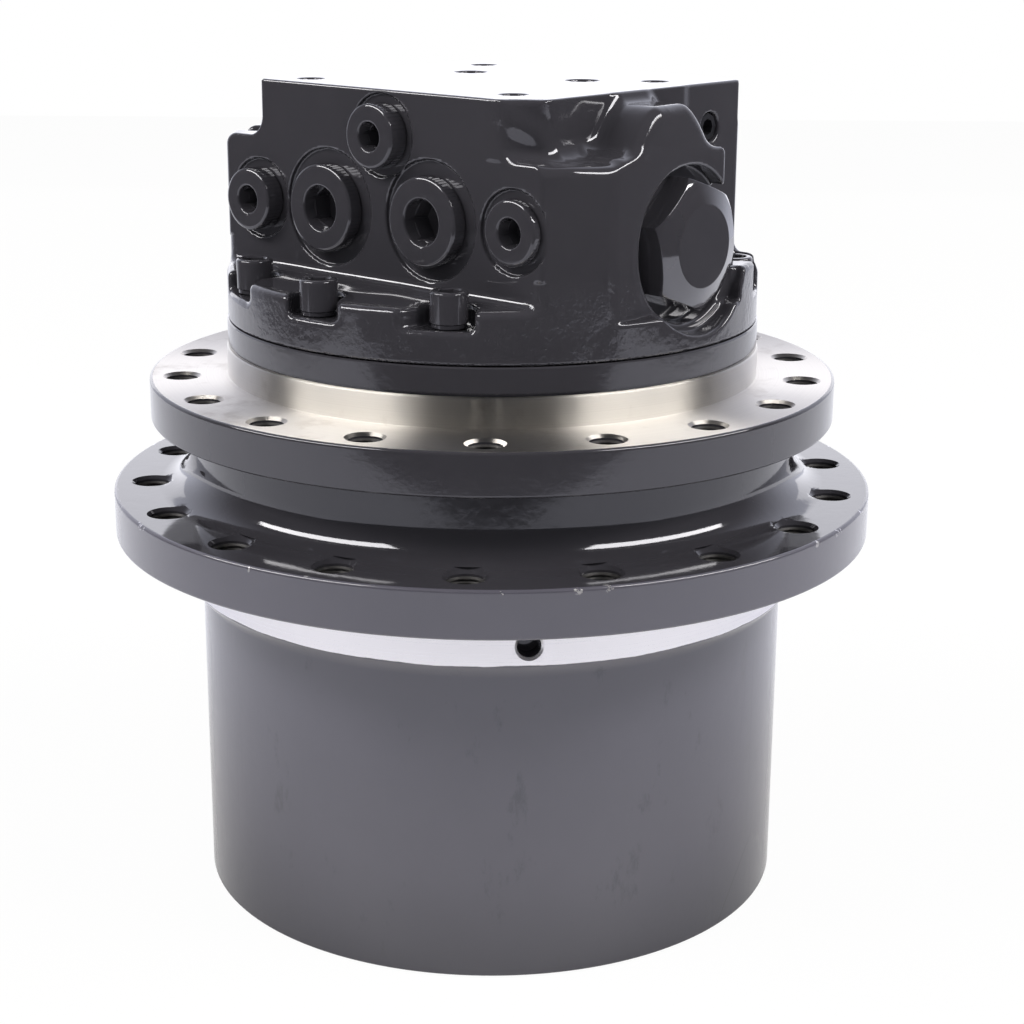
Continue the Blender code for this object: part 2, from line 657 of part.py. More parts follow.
for turn in screw_turns:
    bores.append((screw_bore, at_turn(CARRIER_SCREW_PCR, turn * 180 / pi)))
cut(carrier_2, place("carrier_2_drills", joined("carrier_2_drills", bores)))
carrier_screw = [
    (0, CARRIER_2_Z),
    (CARRIER_SCREW_HEAD_R, CARRIER_2_Z),
    (CARRIER_SCREW_HEAD_R, CARRIER_2_Z + CARRIER_SCREW_HEAD_H - SEAT_GAP),
    (CARRIER_SCREW_R, CARRIER_2_Z + CARRIER_SCREW_HEAD_H - SEAT_GAP),
    (CARRIER_SCREW_R, SPINDLE_END_Z + WEB_T / 2),
    (0, SPINDLE_END_Z + WEB_T / 2),
]
carrier_screw_mesh = turning("carrier_screw", carrier_screw, FACETS_SMALL)
for number, turn in enumerate(screw_turns, 1):
    stood = at_turn(CARRIER_SCREW_PCR, turn * 180 / pi)
    place(f"carrier_screw_{number}", carrier_screw_mesh, zinc, turned=stood)
pin_mesh = drill(PIN_2_R, STAGE_2_Z - PIN_TAIL, CARRIER_2_TOP_Z)
for number, turn in enumerate(pin_turns, 1):
    stood = at_turn(PIN_2_PCR, turn * 180 / pi)
    place(f"planet_pin_{number}", pin_mesh, hardened, turned=stood)

# Main bearings: two angular contact ball bearings between the spindle and the hub
BALL_PCR = (BEARING_INNER_R + BEARING_OUTER_R) / 2
BALL_R = BEARING_SECTION / 2 - RACE_T + BALL_OVERLAP


def main_bearing(place_name, low):
    high = low + BEARING_WIDTH
    middle = (low + high) / 2
    race_in = BEARING_INNER_R + RACE_T
    race_out = around(BEARING_OUTER_R - SEAT_GAP - RACE_T, FACETS_MEDIUM)
    bore_r = around(BEARING_INNER_R, FACETS_MEDIUM)
    inner = [
        (bore_r, low + SEAT_GAP),
        (race_in, low + SEAT_GAP),
        (BALL_PCR - BALL_R - BALL_GAP, middle),
        (race_in, high - SEAT_GAP),
        (bore_r, high - SEAT_GAP),
    ]
    outer = [
        (race_out, low + SEAT_GAP),
        (BEARING_OUTER_R - SEAT_GAP, low + SEAT_GAP),
        (BEARING_OUTER_R - SEAT_GAP, high - SEAT_GAP),
        (race_out, high - SEAT_GAP),
        (around(BALL_PCR + BALL_R + BALL_GAP, FACETS_MEDIUM), middle),
    ]
    place(f"bearing_inner_{place_name}", turning("inner", inner, FACETS_MEDIUM), hardened)
    place(f"bearing_outer_{place_name}", turning("outer", outer, FACETS_MEDIUM), hardened)
    cage_outline = [
        (BALL_PCR - CAGE_T / 2, middle - CAGE_HALF_W),
        (BALL_PCR + CAGE_T / 2, middle - CAGE_HALF_W),
        (BALL_PCR + CAGE_T / 2, middle + CAGE_HALF_W),
        (BALL_PCR - CAGE_T / 2, middle + CAGE_HALF_W),
    ]
    cage = place(f"ball_cage_{place_name}", turning("cage", cage_outline, BALLS), bronze)
    ball_arc = [(0, 0), *arc((0, 0), BALL_R, -60, 60, 2)]
    ball = turning("ball", ball_arc, 6)
    balls = joined("balls", ring_of(ball, BALLS, BALL_PCR, 0, middle))
    cut(cage, place(f"balls_{place_name}", balls), "UNION")


main_bearing("lower", LOWER_BEARING_Z)
main_bearing("upper", UPPER_BEARING_Z)

# Face seal between the turning hub and the spindle: two iron rings on rubber torics
SEAL_POCKET_Z = FRAME_FLANGE_Z - HUB_GAP
SEAL_MID_Z = (SEAL_FLOOR_Z + SEAL_POCKET_Z) / 2
TORIC_PCR = SEAL_SEAT_R - SEAT_GAP - TORIC_R
SEAL_BODY_R = TORIC_PCR - TORIC_R - SEAT_GAP
SEAL_LIP_R = SEAL_SEAT_R - END_FLOAT * 3


def face_seal(place_name, side, wall_z):
    face = SEAL_MID_Z + side * SEAT_GAP / 2
    back = wall_z - side * END_FLOAT * 2
    body = [
        (SEAL_BODY_R - SEAL_RING_IN, face),
        (SEAL_LIP_R, face),
        (SEAL_LIP_R, face + side * SEAL_FACE_H),
        (SEAL_BODY_R, face + side * SEAL_FACE_H),
        (SEAL_BODY_R, back),
        (SEAL_BODY_R - SEAL_RING_IN, back),
    ]
    place(f"seal_ring_{place_name}", turning("seal_ring", body, FACETS_MEDIUM), hardened)
    lip = face + side * (SEAL_FACE_H + SEAT_GAP)
    toric_h = (abs(wall_z - lip) - SEAT_GAP) / 2
    middle = (lip + wall_z - side * SEAT_GAP) / 2
    round_outline = [
        (TORIC_PCR + TORIC_R * cos(radians(a)), middle + toric_h * sin(radians(a)))
        for a in range(0, 360, 72)
    ]
    place(f"seal_toric_{place_name}", turning("toric", round_outline, FACETS_MEDIUM), rubber)


face_seal("fixed", 1, SEAL_POCKET_Z)
face_seal("turning", -1, SEAL_FLOOR_Z)

# Spindle: frame flange, pilot, seal skirt, bearing seats and the motor's bore
SKIRT_END_Z = SEAL_FLOOR_Z + (HUB_TOP_Z - SEAL_FLOOR_Z) / 2 + END_FLOAT * 1.5
spindle_outline = [
    (WEB_BORE_R, SPINDLE_END_Z),
    (SPINDLE_SEAT_R, SPINDLE_END_Z),
    (SPINDLE_SEAT_R, SPINDLE_SHOULDER_Z),
    (SPINDLE_NECK_R, SPINDLE_SHOULDER_Z),
    (SPINDLE_NECK_R, SEAL_POCKET_Z),
    (SEAL_SEAT_R, SEAL_POCKET_Z),
    (SEAL_SEAT_R, SKIRT_END_Z),
    (SKIRT_R, SKIRT_END_Z),
    (SKIRT_R, FRAME_FLANGE_Z),
    (FRAME_FLANGE_R - EDGE_CHAMFER, FRAME_FLANGE_Z),
    (FRAME_FLANGE_R, FRAME_FLANGE_Z + EDGE_CHAMFER),
    (FRAME_FLANGE_R, FRAME_FACE_Z - EDGE_CHAMFER),
    (FRAME_FLANGE_R - EDGE_CHAMFER, FRAME_FACE_Z),
    (FRAME_PILOT_R, FRAME_FACE_Z),
    (FRAME_PILOT_R, PILOT_TOP_Z - PAINT_STEP),
    (SPINDLE_RING_R, PILOT_TOP_Z),
    (SPINDLE_RING_R, SPINDLE_TOP_Z),
    (MOTOR_BORE_R, SPINDLE_TOP_Z),
    (MOTOR_BORE_R, MOTOR_FLOOR_Z),
    (SHAFT_BEARING_R + SEAT_GAP, MOTOR_FLOOR_Z),
    (SHAFT_BEARING_R + SEAT_GAP, MOTOR_FLOOR_Z - SHAFT_BEARING_T),
    (WEB_BORE_R, MOTOR_FLOOR_Z - SHAFT_BEARING_T),
]
spindle = place("spindle", turning("spindle", spindle_outline, FACETS_LARGE), black)
frame_low = FRAME_FLANGE_Z - EDGE_CHAMFER
frame_drill = drill(FRAME_HOLE_R, frame_low, FRAME_FACE_Z + EDGE_CHAMFER, FACETS_HOLE)
frame_holes = ring_of(frame_drill, FRAME_HOLES, FRAME_HOLE_PCR, FRAME_TURN)
cut(spindle, place("frame_drills", joined("frame_drills", frame_holes)))
thread_depth = SCREW_GRIP + END_FLOAT
tap = drill(SCREW_R + SEAT_GAP, SPINDLE_TOP_Z - thread_depth, SPINDLE_TOP_Z + END_FLOAT)
taps = [(tap, at_turn(SCREW_PCR, turn)) for turn in SCREW_TURNS]
cut(spindle, place("housing_taps", joined("housing_taps", taps)))
carrier_tap_top = SPINDLE_END_Z + WEB_T / 2 + END_FLOAT
carrier_tap = drill(CARRIER_SCREW_R + SEAT_GAP, SPINDLE_END_Z - END_FLOAT, carrier_tap_top)
taps = [(carrier_tap, at_turn(CARRIER_SCREW_PCR, turn * 180 / pi)) for turn in screw_turns]
pin_seat_r = around(SWASH_PIN_R + SEAT_GAP, FACETS_SMALL)
pin_socket = drill(pin_seat_r, 0, MOTOR_BORE_R + SWASH_PIN_SEAT + SEAT_GAP)
taps.append((pin_socket, Matrix.Translation((0, 0, SWASH_Z)) @ ALONG_X))
taps.append((pin_socket, Matrix.Translation((0, 0, SWASH_Z)) @ ALONG_MINUS_X))
cut(spindle, place("spindle_taps", joined("spindle_taps", taps)))

# Motor: shaft, its bearings, the cylinder barrel, the pistons, the swash plate and the valve plate
SHAFT_TOP_Z = HOUSING_Z + SHAFT_BEARING_T
shaft_outline = [
    (0, STAGE_1_Z - PIN_TAIL),
    (SHAFT_NOSE_R, STAGE_1_Z - PIN_TAIL),
    (SHAFT_NOSE_R, STAGE_1_TOP_Z + SEAT_GAP),
    (SHAFT_R, STAGE_1_TOP_Z + SEAT_GAP),
    (SHAFT_R, SHAFT_TOP_Z),
    (0, SHAFT_TOP_Z),
]
place("motor_shaft", turning("motor_shaft", shaft_outline, FACETS_SMALL), hardened)


def sleeve(name, inner_r, outer_r, low, high, material, facets=FACETS_MEDIUM):
    outline = [(inner_r, low), (outer_r, low), (outer_r, high), (inner_r, high)]
    return place(name, turning(name, outline, facets), material)


front_z = MOTOR_FLOOR_Z - SHAFT_BEARING_T + SEAT_GAP
sleeve(
    "shaft_bearing_front", SHAFT_R + SEAT_GAP, SHAFT_BEARING_R, front_z, MOTOR_FLOOR_Z, hardened
)
rear_top = HOUSING_Z + SHAFT_BEARING_T
sleeve("shaft_bearing_rear", SHAFT_R + SEAT_GAP, SHAFT_BEARING_R, HOUSING_Z, rear_top, hardened)
sleeve(
    "valve_plate", WEB_BORE_R, BARREL_R, VALVE_PLATE_Z, VALVE_PLATE_TOP_Z, bronze, FACETS_MEDIUM
)
barrel = sleeve("cylinder_barrel", SHAFT_R + SEAT_GAP, BARREL_R, BARREL_Z, BARREL_TOP_Z, machined)
bore_top = BARREL_TOP_Z - PISTON_RUN
piston_bore = drill(PISTON_R + SEAT_GAP, BARREL_Z - END_FLOAT, bore_top)
bores = joined("piston_bores", ring_of(piston_bore, PISTONS, PISTON_PCR, 0))
cut(barrel, place("piston_bores", bores))
shoe_plate_r = PISTON_PCR + PISTON_R * 2
shoe_top = SHOE_Z + SHOE_PLATE_T
pistons = sleeve("piston_set", SWASH_BORE_R, shoe_plate_r, SHOE_Z, shoe_top, hardened)
piston = drill(PISTON_R, SHOE_Z + SHOE_PLATE_T / 2, bore_top - PISTON_RUN)
rods = joined("piston_rods", ring_of(piston, PISTONS, PISTON_PCR, 0))
cut(pistons, place("piston_rods", rods), "UNION")
disc_outline = [
    (SWASH_BORE_R, -SWASH_T / 2),
    (SWASH_R, -SWASH_T / 2),
    (SWASH_R, SWASH_T / 2),
    (SWASH_BORE_R, SWASH_T / 2),
]
swash_mesh = turning("swash_plate", disc_outline, FACETS_MEDIUM)
swash = place("swash_plate", swash_mesh, hardened)
trunnion_start = (SWASH_BORE_R + SWASH_R) / 2
trunnion = drill(SWASH_PIN_R, trunnion_start, MOTOR_BORE_R + SWASH_PIN_SEAT)
trunnions = joined("trunnions", [(trunnion, ALONG_X), (trunnion, ALONG_MINUS_X)])
cut(swash, place("trunnions", trunnions), "UNION")
settled(swash)
swash.matrix_world = Matrix.Translation((0, 0, SWASH_Z)) @ Matrix.Rotation(radians(SWASH_TILT), 4, "X")

# Motor housing
body_outline = [
    (0, HOUSING_Z),
    (HOUSING_R, HOUSING_Z),
    (HOUSING_R, SHOULDER_Z - TOP_ROUND),
    *arc((HOUSING_R - TOP_ROUND, SHOULDER_Z - TOP_ROUND), TOP_ROUND, 30, 90, 2),
    (0, SHOULDER_Z),
]
housing = place("motor_housing", turning("motor_housing", body_outline, FACETS_LARGE), black)
foot_z = SHOULDER_Z + ROOT_FILLET - SEAT_GAP
left_foot = arc((-BLOCK_LEFT_X - ROOT_FILLET, foot_z), ROOT_FILLET, 270, 360, 3)
right_foot = arc((BLOCK_RIGHT_X + ROOT_FILLET, foot_z), ROOT_FILLET, 180, 270, 3)
block_outline = [
    (-BLOCK_LEFT_X - ROOT_FILLET, SHOULDER_Z - TOP_ROUND),
    *left_foot,
    (-BLOCK_LEFT_X, PORT_FACE_Z),
    (BLOCK_RIGHT_X, PORT_FACE_Z),
    *right_foot,
    (BLOCK_RIGHT_X + ROOT_FILLET, SHOULDER_Z - TOP_ROUND),
]
spare = END_FLOAT * 4
block_mesh = prism("port_block", [block_outline], -REAR_FACE_Y - spare, PLUG_FACE_Y + spare)
cut(housing, place("port_block", block_mesh, turned=ALONG_MINUS_Y), "UNION")


def hump_height(y):
    """Height of the valve boss over the shoulder: flat on top, with soft flanks."""
    across = min(max(abs(y - HUMP_Y) - HUMP_FLAT, 0) / HUMP_SIDE, 1)
    return HUMP_H * (0.5 + 0.5 * cos(pi * across)) - SEAT_GAP


def box(name, low, high):
    """A cutter between two corners."""
    outline = [(low[0], low[1]), (high[0], low[1]), (high[0], high[1]), (low[0], high[1])]
    return place(name, prism(name, [outline], low[2], high[2]))


hump_steps = 8
hump_from = HUMP_Y - HUMP_FLAT - HUMP_SIDE
hump_width = 2 * (HUMP_FLAT + HUMP_SIDE)
hump_ys = [hump_from + hump_width * k / hump_steps for k in range(hump_steps + 1)]
hump_outline = [(y, SHOULDER_Z + hump_height(y)) for y in hump_ys]
hump_outline += [(hump_ys[-1], SHOULDER_Z - TOP_ROUND), (hump_ys[0], SHOULDER_Z - TOP_ROUND)]
hump_mesh = prism("valve_boss", [hump_outline], BLOCK_RIGHT_X - ROOT_FILLET, CAP_FLAT_X + spare)
stand_up = Matrix(((0, 0, 1, 0), (1, 0, 0, 0), (0, 1, 0, 0), (0, 0, 0, 1)))
cut(housing, place("valve_boss", hump_mesh, turned=stand_up), "UNION")

beyond = HOUSING_R * 1.2
over = PORT_FACE_Z + END_FLOAT * 5
for face_name, face_y in (("plug_face_mill", -PLUG_FACE_Y), ("rear_face_mill", REAR_FACE_Y)):
    out = face_y / abs(face_y)
    foot = arc((-LEDGE_DROP, BASE_TOP_Z), LEDGE_DROP, 0, -90, 2)
    profile = [(0, over), *foot, (-beyond, LEDGE_Z), (-beyond, over)]
    profile = [(face_y - y * out, z) for y, z in profile]
    cut(housing, place(face_name, prism(face_name, [profile], -beyond, beyond), turned=stand_up))
side_low = BASE_TOP_Z + END_FLOAT * 2
cut(housing, box("side_mill", (BLOCK_RIGHT_X, CAP_FLAT_Y, side_low), (beyond, beyond, over)))
flat_low = BASE_TOP_Z - CAP_FLAT_DROP
cut(housing, box("right_flat_mill", (CAP_FLAT_X, -beyond, flat_low), (beyond, CAP_FLAT_Y + spare, over)))
cut(housing, box("left_flat_mill", (-beyond, -beyond, flat_low), (-CAP_FLAT_X, beyond, over)))
corner_outline = [
    (BLOCK_RIGHT_X - CORNER_CUT, -PLUG_FACE_Y - END_FLOAT),
    (BLOCK_RIGHT_X + ROOT_FILLET * 2, -PLUG_FACE_Y - END_FLOAT),
    (BLOCK_RIGHT_X + ROOT_FILLET * 2, -PLUG_FACE_Y + CORNER_CUT),
    (BLOCK_RIGHT_X, -PLUG_FACE_Y + CORNER_CUT),
]
corner_mesh = prism("corner_mill", [corner_outline], SHOULDER_Z + END_FLOAT, over)
cut(housing, place("corner_mill", corner_mesh))


def screw_pocket(top_z, left=POCKET_R, right=POCKET_R):
    """The pocket of a cap screw, round behind the head, with walls that run out to its mouth."""
    outline = arc((0, 0), POCKET_R, 90, 270, 4)
    outline += [(POCKET_REACH, -left), (POCKET_REACH, right)]
    return prism("screw_pocket", [outline], POCKET_FLOOR_Z, top_z)


pockets = []
for turn in SCREW_TURNS:
    pocket_top = SHOULDER_Z + ROOT_FILLET if turn in FLUTE_TURNS else BASE_TOP_Z + END_FLOAT * 3
    mouth = POCKET_MOUTHS.get(turn, (POCKET_R, POCKET_R))
    pockets.append((screw_pocket(pocket_top, *mouth), at_turn(SCREW_PCR, turn)))
cut(housing, place("screw_pockets", joined("screw_pockets", pockets)))
through = drill(SCREW_R + SEAT_GAP, HOUSING_Z - END_FLOAT, POCKET_FLOOR_Z + END_FLOAT)
through_holes = [(through, at_turn(SCREW_PCR, turn)) for turn in SCREW_TURNS]
cut(housing, place("screw_drills", joined("screw_drills", through_holes)))

# Spool bore, with a wide seat for the cap at each end, and the caps' spot faces
bore_end = SPOT_X - CAP_SHANK_L - END_FLOAT
valve_side = [
    (SPOOL_R + SEAT_GAP, bore_end),
    (CAP_SHANK_R + SEAT_GAP, bore_end),
    (CAP_SHANK_R + SEAT_GAP, SPOT_X),
    (SPOT_R, SPOT_X),
    (SPOT_R, CAP_FLAT_X),
    (RELIEF_R, CAP_FLAT_X + END_FLOAT),
    (RELIEF_R, beyond),
]
other_side = [(radius, -along) for radius, along in reversed(valve_side)]
valve_outline = [(0, -beyond), *other_side, *valve_side]
valve_tool = turning("valve_tool", valve_outline, FACETS_MEDIUM)
cut(housing, place("valve_tool", valve_tool, at=(0, 0, VALVE_Z), turned=ALONG_X))

plug_places = {
    "port_plug_1": (PLUG_1_X, 0, SMALL_PLUG, SMALL_RISE),
    "port_plug_2": (PLUG_2_X, 0, LARGE_PLUG, LARGE_RISE),
    "port_plug_3": (PLUG_3_X, PLUG_3_LIFT, SMALL_PLUG, SMALL_RISE),
    "port_plug_4": (PLUG_4_X, 0, LARGE_PLUG, LARGE_RISE),
    "port_plug_5": (PLUG_5_X, 0, SMALL_PLUG, PLUG_5_RISE),
}
plug_level = BASE_TOP_Z + PLUG_LEVEL
PLUG_SEAT_Y = PLUG_FACE_Y - PLUG_SPOT_DEPTH


def plug_bore(size):
    """The spot face and the threaded hole, from the face of the housing inwards."""
    outline = [
        (0, -PLUG_SPOT_DEPTH - PLUG_SHANK_L - END_FLOAT),
        (size["shank"] + SEAT_GAP, -PLUG_SPOT_DEPTH - PLUG_SHANK_L - END_FLOAT),
        (size["shank"] + SEAT_GAP, -PLUG_SPOT_DEPTH),
        (size["spot"], -PLUG_SPOT_DEPTH),
        (size["spot"], PLUG_SPOT_DEPTH),
        (0, PLUG_SPOT_DEPTH),
    ]
    return turning("plug_bore", outline, PLUG_FACETS)


def plug_mesh(size, rise):
    """A flanged plug with a hexagon socket, its seat at height 0."""
    head_h = rise + PLUG_SPOT_DEPTH
    outline = [
        (0, -PLUG_SHANK_L),
        (size["shank"], -PLUG_SHANK_L),
        (size["shank"], SEAT_GAP),
        (size["head"], SEAT_GAP),
        (size["head"], head_h - PLUG_BEVEL),
        (size["head"] - PLUG_BEVEL, head_h),
        (0, head_h),
    ]
    plug = place("plug_blank", turning("plug", outline, PLUG_FACETS), zinc)
    key = prism("key", [hexagon(size["key"], 30)], -PLUG_SHANK_L / 2, head_h + END_FLOAT)
    cut(plug, place("key", key))
    mesh = settled(plug)
    bpy.data.objects.remove(plug)
    return mesh


bores = []
for name, (x, lift, size, rise) in plug_places.items():
    seat = Matrix.Translation((x, -PLUG_FACE_Y, plug_level + lift)) @ ALONG_MINUS_Y
    bores.append((plug_bore(size), seat))
    at = (x, -PLUG_SEAT_Y, plug_level + lift)
    place(name, plug_mesh(size, rise), zinc, at, ALONG_MINUS_Y)
cut(housing, place("plug_bores", joined("plug_bores", bores)))

# Cap screws
screw_outline = [
    (0, -POCKET_FLOOR_Z + SPINDLE_TOP_Z - SCREW_GRIP),
    (SCREW_R, -POCKET_FLOOR_Z + SPINDLE_TOP_Z - SCREW_GRIP),
    (SCREW_R, SEAT_GAP),
    (WASHER_R, SEAT_GAP),
    (WASHER_R, WASHER_T),
    (SCREW_HEAD_R, WASHER_T),
    (SCREW_HEAD_R, SCREW_HEAD_H - SCREW_HEAD_BEVEL),
    (SCREW_HEAD_R - SCREW_HEAD_BEVEL, SCREW_HEAD_H),
    (0, SCREW_HEAD_H),
]
blank = place("screw_blank", turning("cap_screw", screw_outline, FACETS_SMALL), zinc)
key = prism("key", [hexagon(SCREW_KEY_AF)], SCREW_HEAD_H / 2, SCREW_HEAD_H + END_FLOAT)
cut(blank, place("key", key))
screw_mesh = settled(blank)
bpy.data.objects.remove(blank)
for number, turn in enumerate(SCREW_TURNS, 1):
    place(f"housing_screw_{number}", screw_mesh, zinc, turned=at_turn(SCREW_PCR, turn, POCKET_FLOOR_Z))

# Hexagon caps of the valve, and the spool between them
head_z = CAP_HEAD_H
cap_r = CAP_AF / sqrt(3)
cap_blank = prism("cap", [hexagon(CAP_AF, CAP_TURN)], SEAT_GAP, head_z + CAP_CHAMFER)
cap_head = place("cap_head", cap_blank, zinc)
lathe = turning(
    "lathe",
    [
        (CAP_DISC_R, head_z + CAP_CHAMFER * 1.5),
        (CAP_DISC_R, head_z + CAP_CHAMFER),
        (cap_r, head_z),
        (cap_r * 1.1, head_z),
        (cap_r * 1.1, head_z + CAP_CHAMFER * 1.5),
    ],
    FACETS_MEDIUM,
)
cut(cap_head, place("lathe", lathe))
cut(cap_head, place("cap_shank", drill(CAP_SHANK_R, -CAP_SHANK_L, head_z / 2, FACETS_MEDIUM)), "UNION")
cap_mesh = settled(cap_head, 15)
bpy.data.objects.remove(cap_head)
place("valve_cap_right", cap_mesh, zinc, (SPOT_X, 0, VALVE_Z), ALONG_X)
place("valve_cap_left", cap_mesh, zinc, (-SPOT_X, 0, VALVE_Z), ALONG_MINUS_X)
spool_half = bore_end - SPOOL_TRAVEL - END_FLOAT
land = spool_half / 4
spool_outline = [
    (0, -spool_half),
    (SPOOL_R, -spool_half),
    (SPOOL_R, -land * 2),
    (SPOOL_WAIST_R, -land * 2),
    (SPOOL_WAIST_R, -land),
    (SPOOL_R, -land),
    (SPOOL_R, land),
    (SPOOL_WAIST_R, land),
    (SPOOL_WAIST_R, land * 2),
    (SPOOL_R, land * 2),
    (SPOOL_R, spool_half),
    (0, spool_half),
]
spool_mesh = turning("spool", spool_outline, FACETS_SMALL)
place("valve_spool", spool_mesh, hardened, (0, 0, VALVE_Z), ALONG_X)

# Gauge plug on the right wall, and the open ports on the rear, the top and the underside
gauge_z = PORT_FACE_Z - GAUGE_DROP
gauge_at = Matrix.Translation((BLOCK_RIGHT_X, GAUGE_Y, gauge_z)) @ ALONG_X
gauge_bore = turning(
    "gauge_bore",
    [
        (0, -PLUG_SHANK_L),
        (GAUGE_HEAD_R + SEAT_GAP, -PLUG_SHANK_L),
        (GAUGE_HEAD_R + SEAT_GAP, -PLUG_SPOT_DEPTH),
        (GAUGE_SPOT_R, 0),
        (GAUGE_SPOT_R, END_FLOAT),
        (0, END_FLOAT),
    ],
    FACETS_SMALL,
)
port_tools = [(gauge_bore, gauge_at)]
port_outline = [
    (0, -MAIN_PORT_DEPTH),
    (MAIN_PORT_R, -MAIN_PORT_DEPTH),
    (MAIN_PORT_R, -PORT_MOUTH_DEPTH),
    (PORT_MOUTH_R, -PORT_MOUTH_DEPTH),
    (PORT_MOUTH_R, END_FLOAT),
    (0, END_FLOAT),
]
main_port = turning("main_port", port_outline, FACETS_SMALL)
for x in (-MAIN_PORT_X, MAIN_PORT_X):
    at = Matrix.Translation((x, REAR_FACE_Y, plug_level)) @ ALONG_Y
    port_tools.append((main_port, at))
drain = drill(DRAIN_PORT_R, -MAIN_PORT_DEPTH, END_FLOAT)
drain_z = PORT_FACE_Z - GAUGE_DROP
port_tools.append((drain, Matrix.Translation((0, REAR_FACE_Y, drain_z)) @ ALONG_Y))
top_bolt = drill(TOP_BOLT_R, PORT_FACE_Z - TOP_HOLE_DEPTH, PORT_FACE_Z + END_FLOAT)
for x, y in TOP_BOLTS:
    port_tools.append((top_bolt, Matrix.Translation((x, y, 0))))
top_port = drill(TOP_PORT_R, PORT_FACE_Z - TOP_HOLE_DEPTH, PORT_FACE_Z + END_FLOAT)
for x, y in TOP_PORTS:
    port_tools.append((top_port, Matrix.Translation((x, y, 0))))
rear_seat = drill(
    SHAFT_BEARING_R + SEAT_GAP,
    HOUSING_Z - END_FLOAT,
    HOUSING_Z + SHAFT_BEARING_T + SEAT_GAP,
    FACETS_MEDIUM,
)
port_tools.append((rear_seat, Matrix()))
cut(housing, place("port_drills", joined("port_drills", port_tools)))
gauge_outline = [
    (0, -PLUG_SHANK_L + SEAT_GAP),
    (GAUGE_HEAD_R, -PLUG_SHANK_L + SEAT_GAP),
    (GAUGE_HEAD_R, -PLUG_SPOT_DEPTH),
    (GAUGE_KEY_R, -PLUG_SPOT_DEPTH),
    (GAUGE_KEY_R, -PLUG_SHANK_L / 2),
    (0, -PLUG_SHANK_L / 2),
]
gauge_mesh = turning("gauge_plug", gauge_outline, FACETS_SMALL)
place("gauge_plug", gauge_mesh, zinc, (BLOCK_RIGHT_X, GAUGE_Y, gauge_z), ALONG_X)
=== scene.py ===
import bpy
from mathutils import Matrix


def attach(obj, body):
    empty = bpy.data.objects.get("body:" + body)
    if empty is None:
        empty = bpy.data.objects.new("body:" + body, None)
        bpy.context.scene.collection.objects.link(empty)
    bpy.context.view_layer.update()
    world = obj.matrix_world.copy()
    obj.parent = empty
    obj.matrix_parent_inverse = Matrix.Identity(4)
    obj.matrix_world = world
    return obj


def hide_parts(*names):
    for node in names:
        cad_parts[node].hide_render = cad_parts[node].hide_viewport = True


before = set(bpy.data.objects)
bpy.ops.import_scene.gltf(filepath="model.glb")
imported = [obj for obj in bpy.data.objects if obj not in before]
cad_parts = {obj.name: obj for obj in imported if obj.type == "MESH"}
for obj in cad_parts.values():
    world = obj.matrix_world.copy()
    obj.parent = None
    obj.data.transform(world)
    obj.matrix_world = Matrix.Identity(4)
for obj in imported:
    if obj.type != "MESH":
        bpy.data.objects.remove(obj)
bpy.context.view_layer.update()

from math import cos, pi, radians, sin

import bmesh
import bpy
import numpy as np
from mathutils import Matrix, Vector

# Hub: drum, machined band, sprocket flange and neck in one ductile iron casting, turned all over
# and sprayed black. The band that pilots the sprocket is left bare. The ring gear is cut inside.
MM = 0.001
HUB_STEPS = 180
DRUM_R = 117.45
DRUM_TOP = 119.3
BAND_R = 122.2
SPROCKET_R = 151.0
SPROCKET_LOW = 145.5
SPROCKET_TOP = 163.7
FLANGE_HOLES = 18
SPROCKET_PCR = 136.3
SPROCKET_TURN = 7.7
SPROCKET_HOLE_R = 7.0
BAND_HOLE_TURN = -42.2
BAND_HOLE_Z = 132.8
NECK_R = 121.0
NECK_FILLET = 12.5
HUB_TOP = 189.4
SEAL_SEAT_R = 112.0
BEARING_SEAT_R = 95.0
COVER_SEAT_R = 106.0
SNAP_GROOVE_R = 109.2
RING_LOW = 19.9
RING_HIGH = 90.0


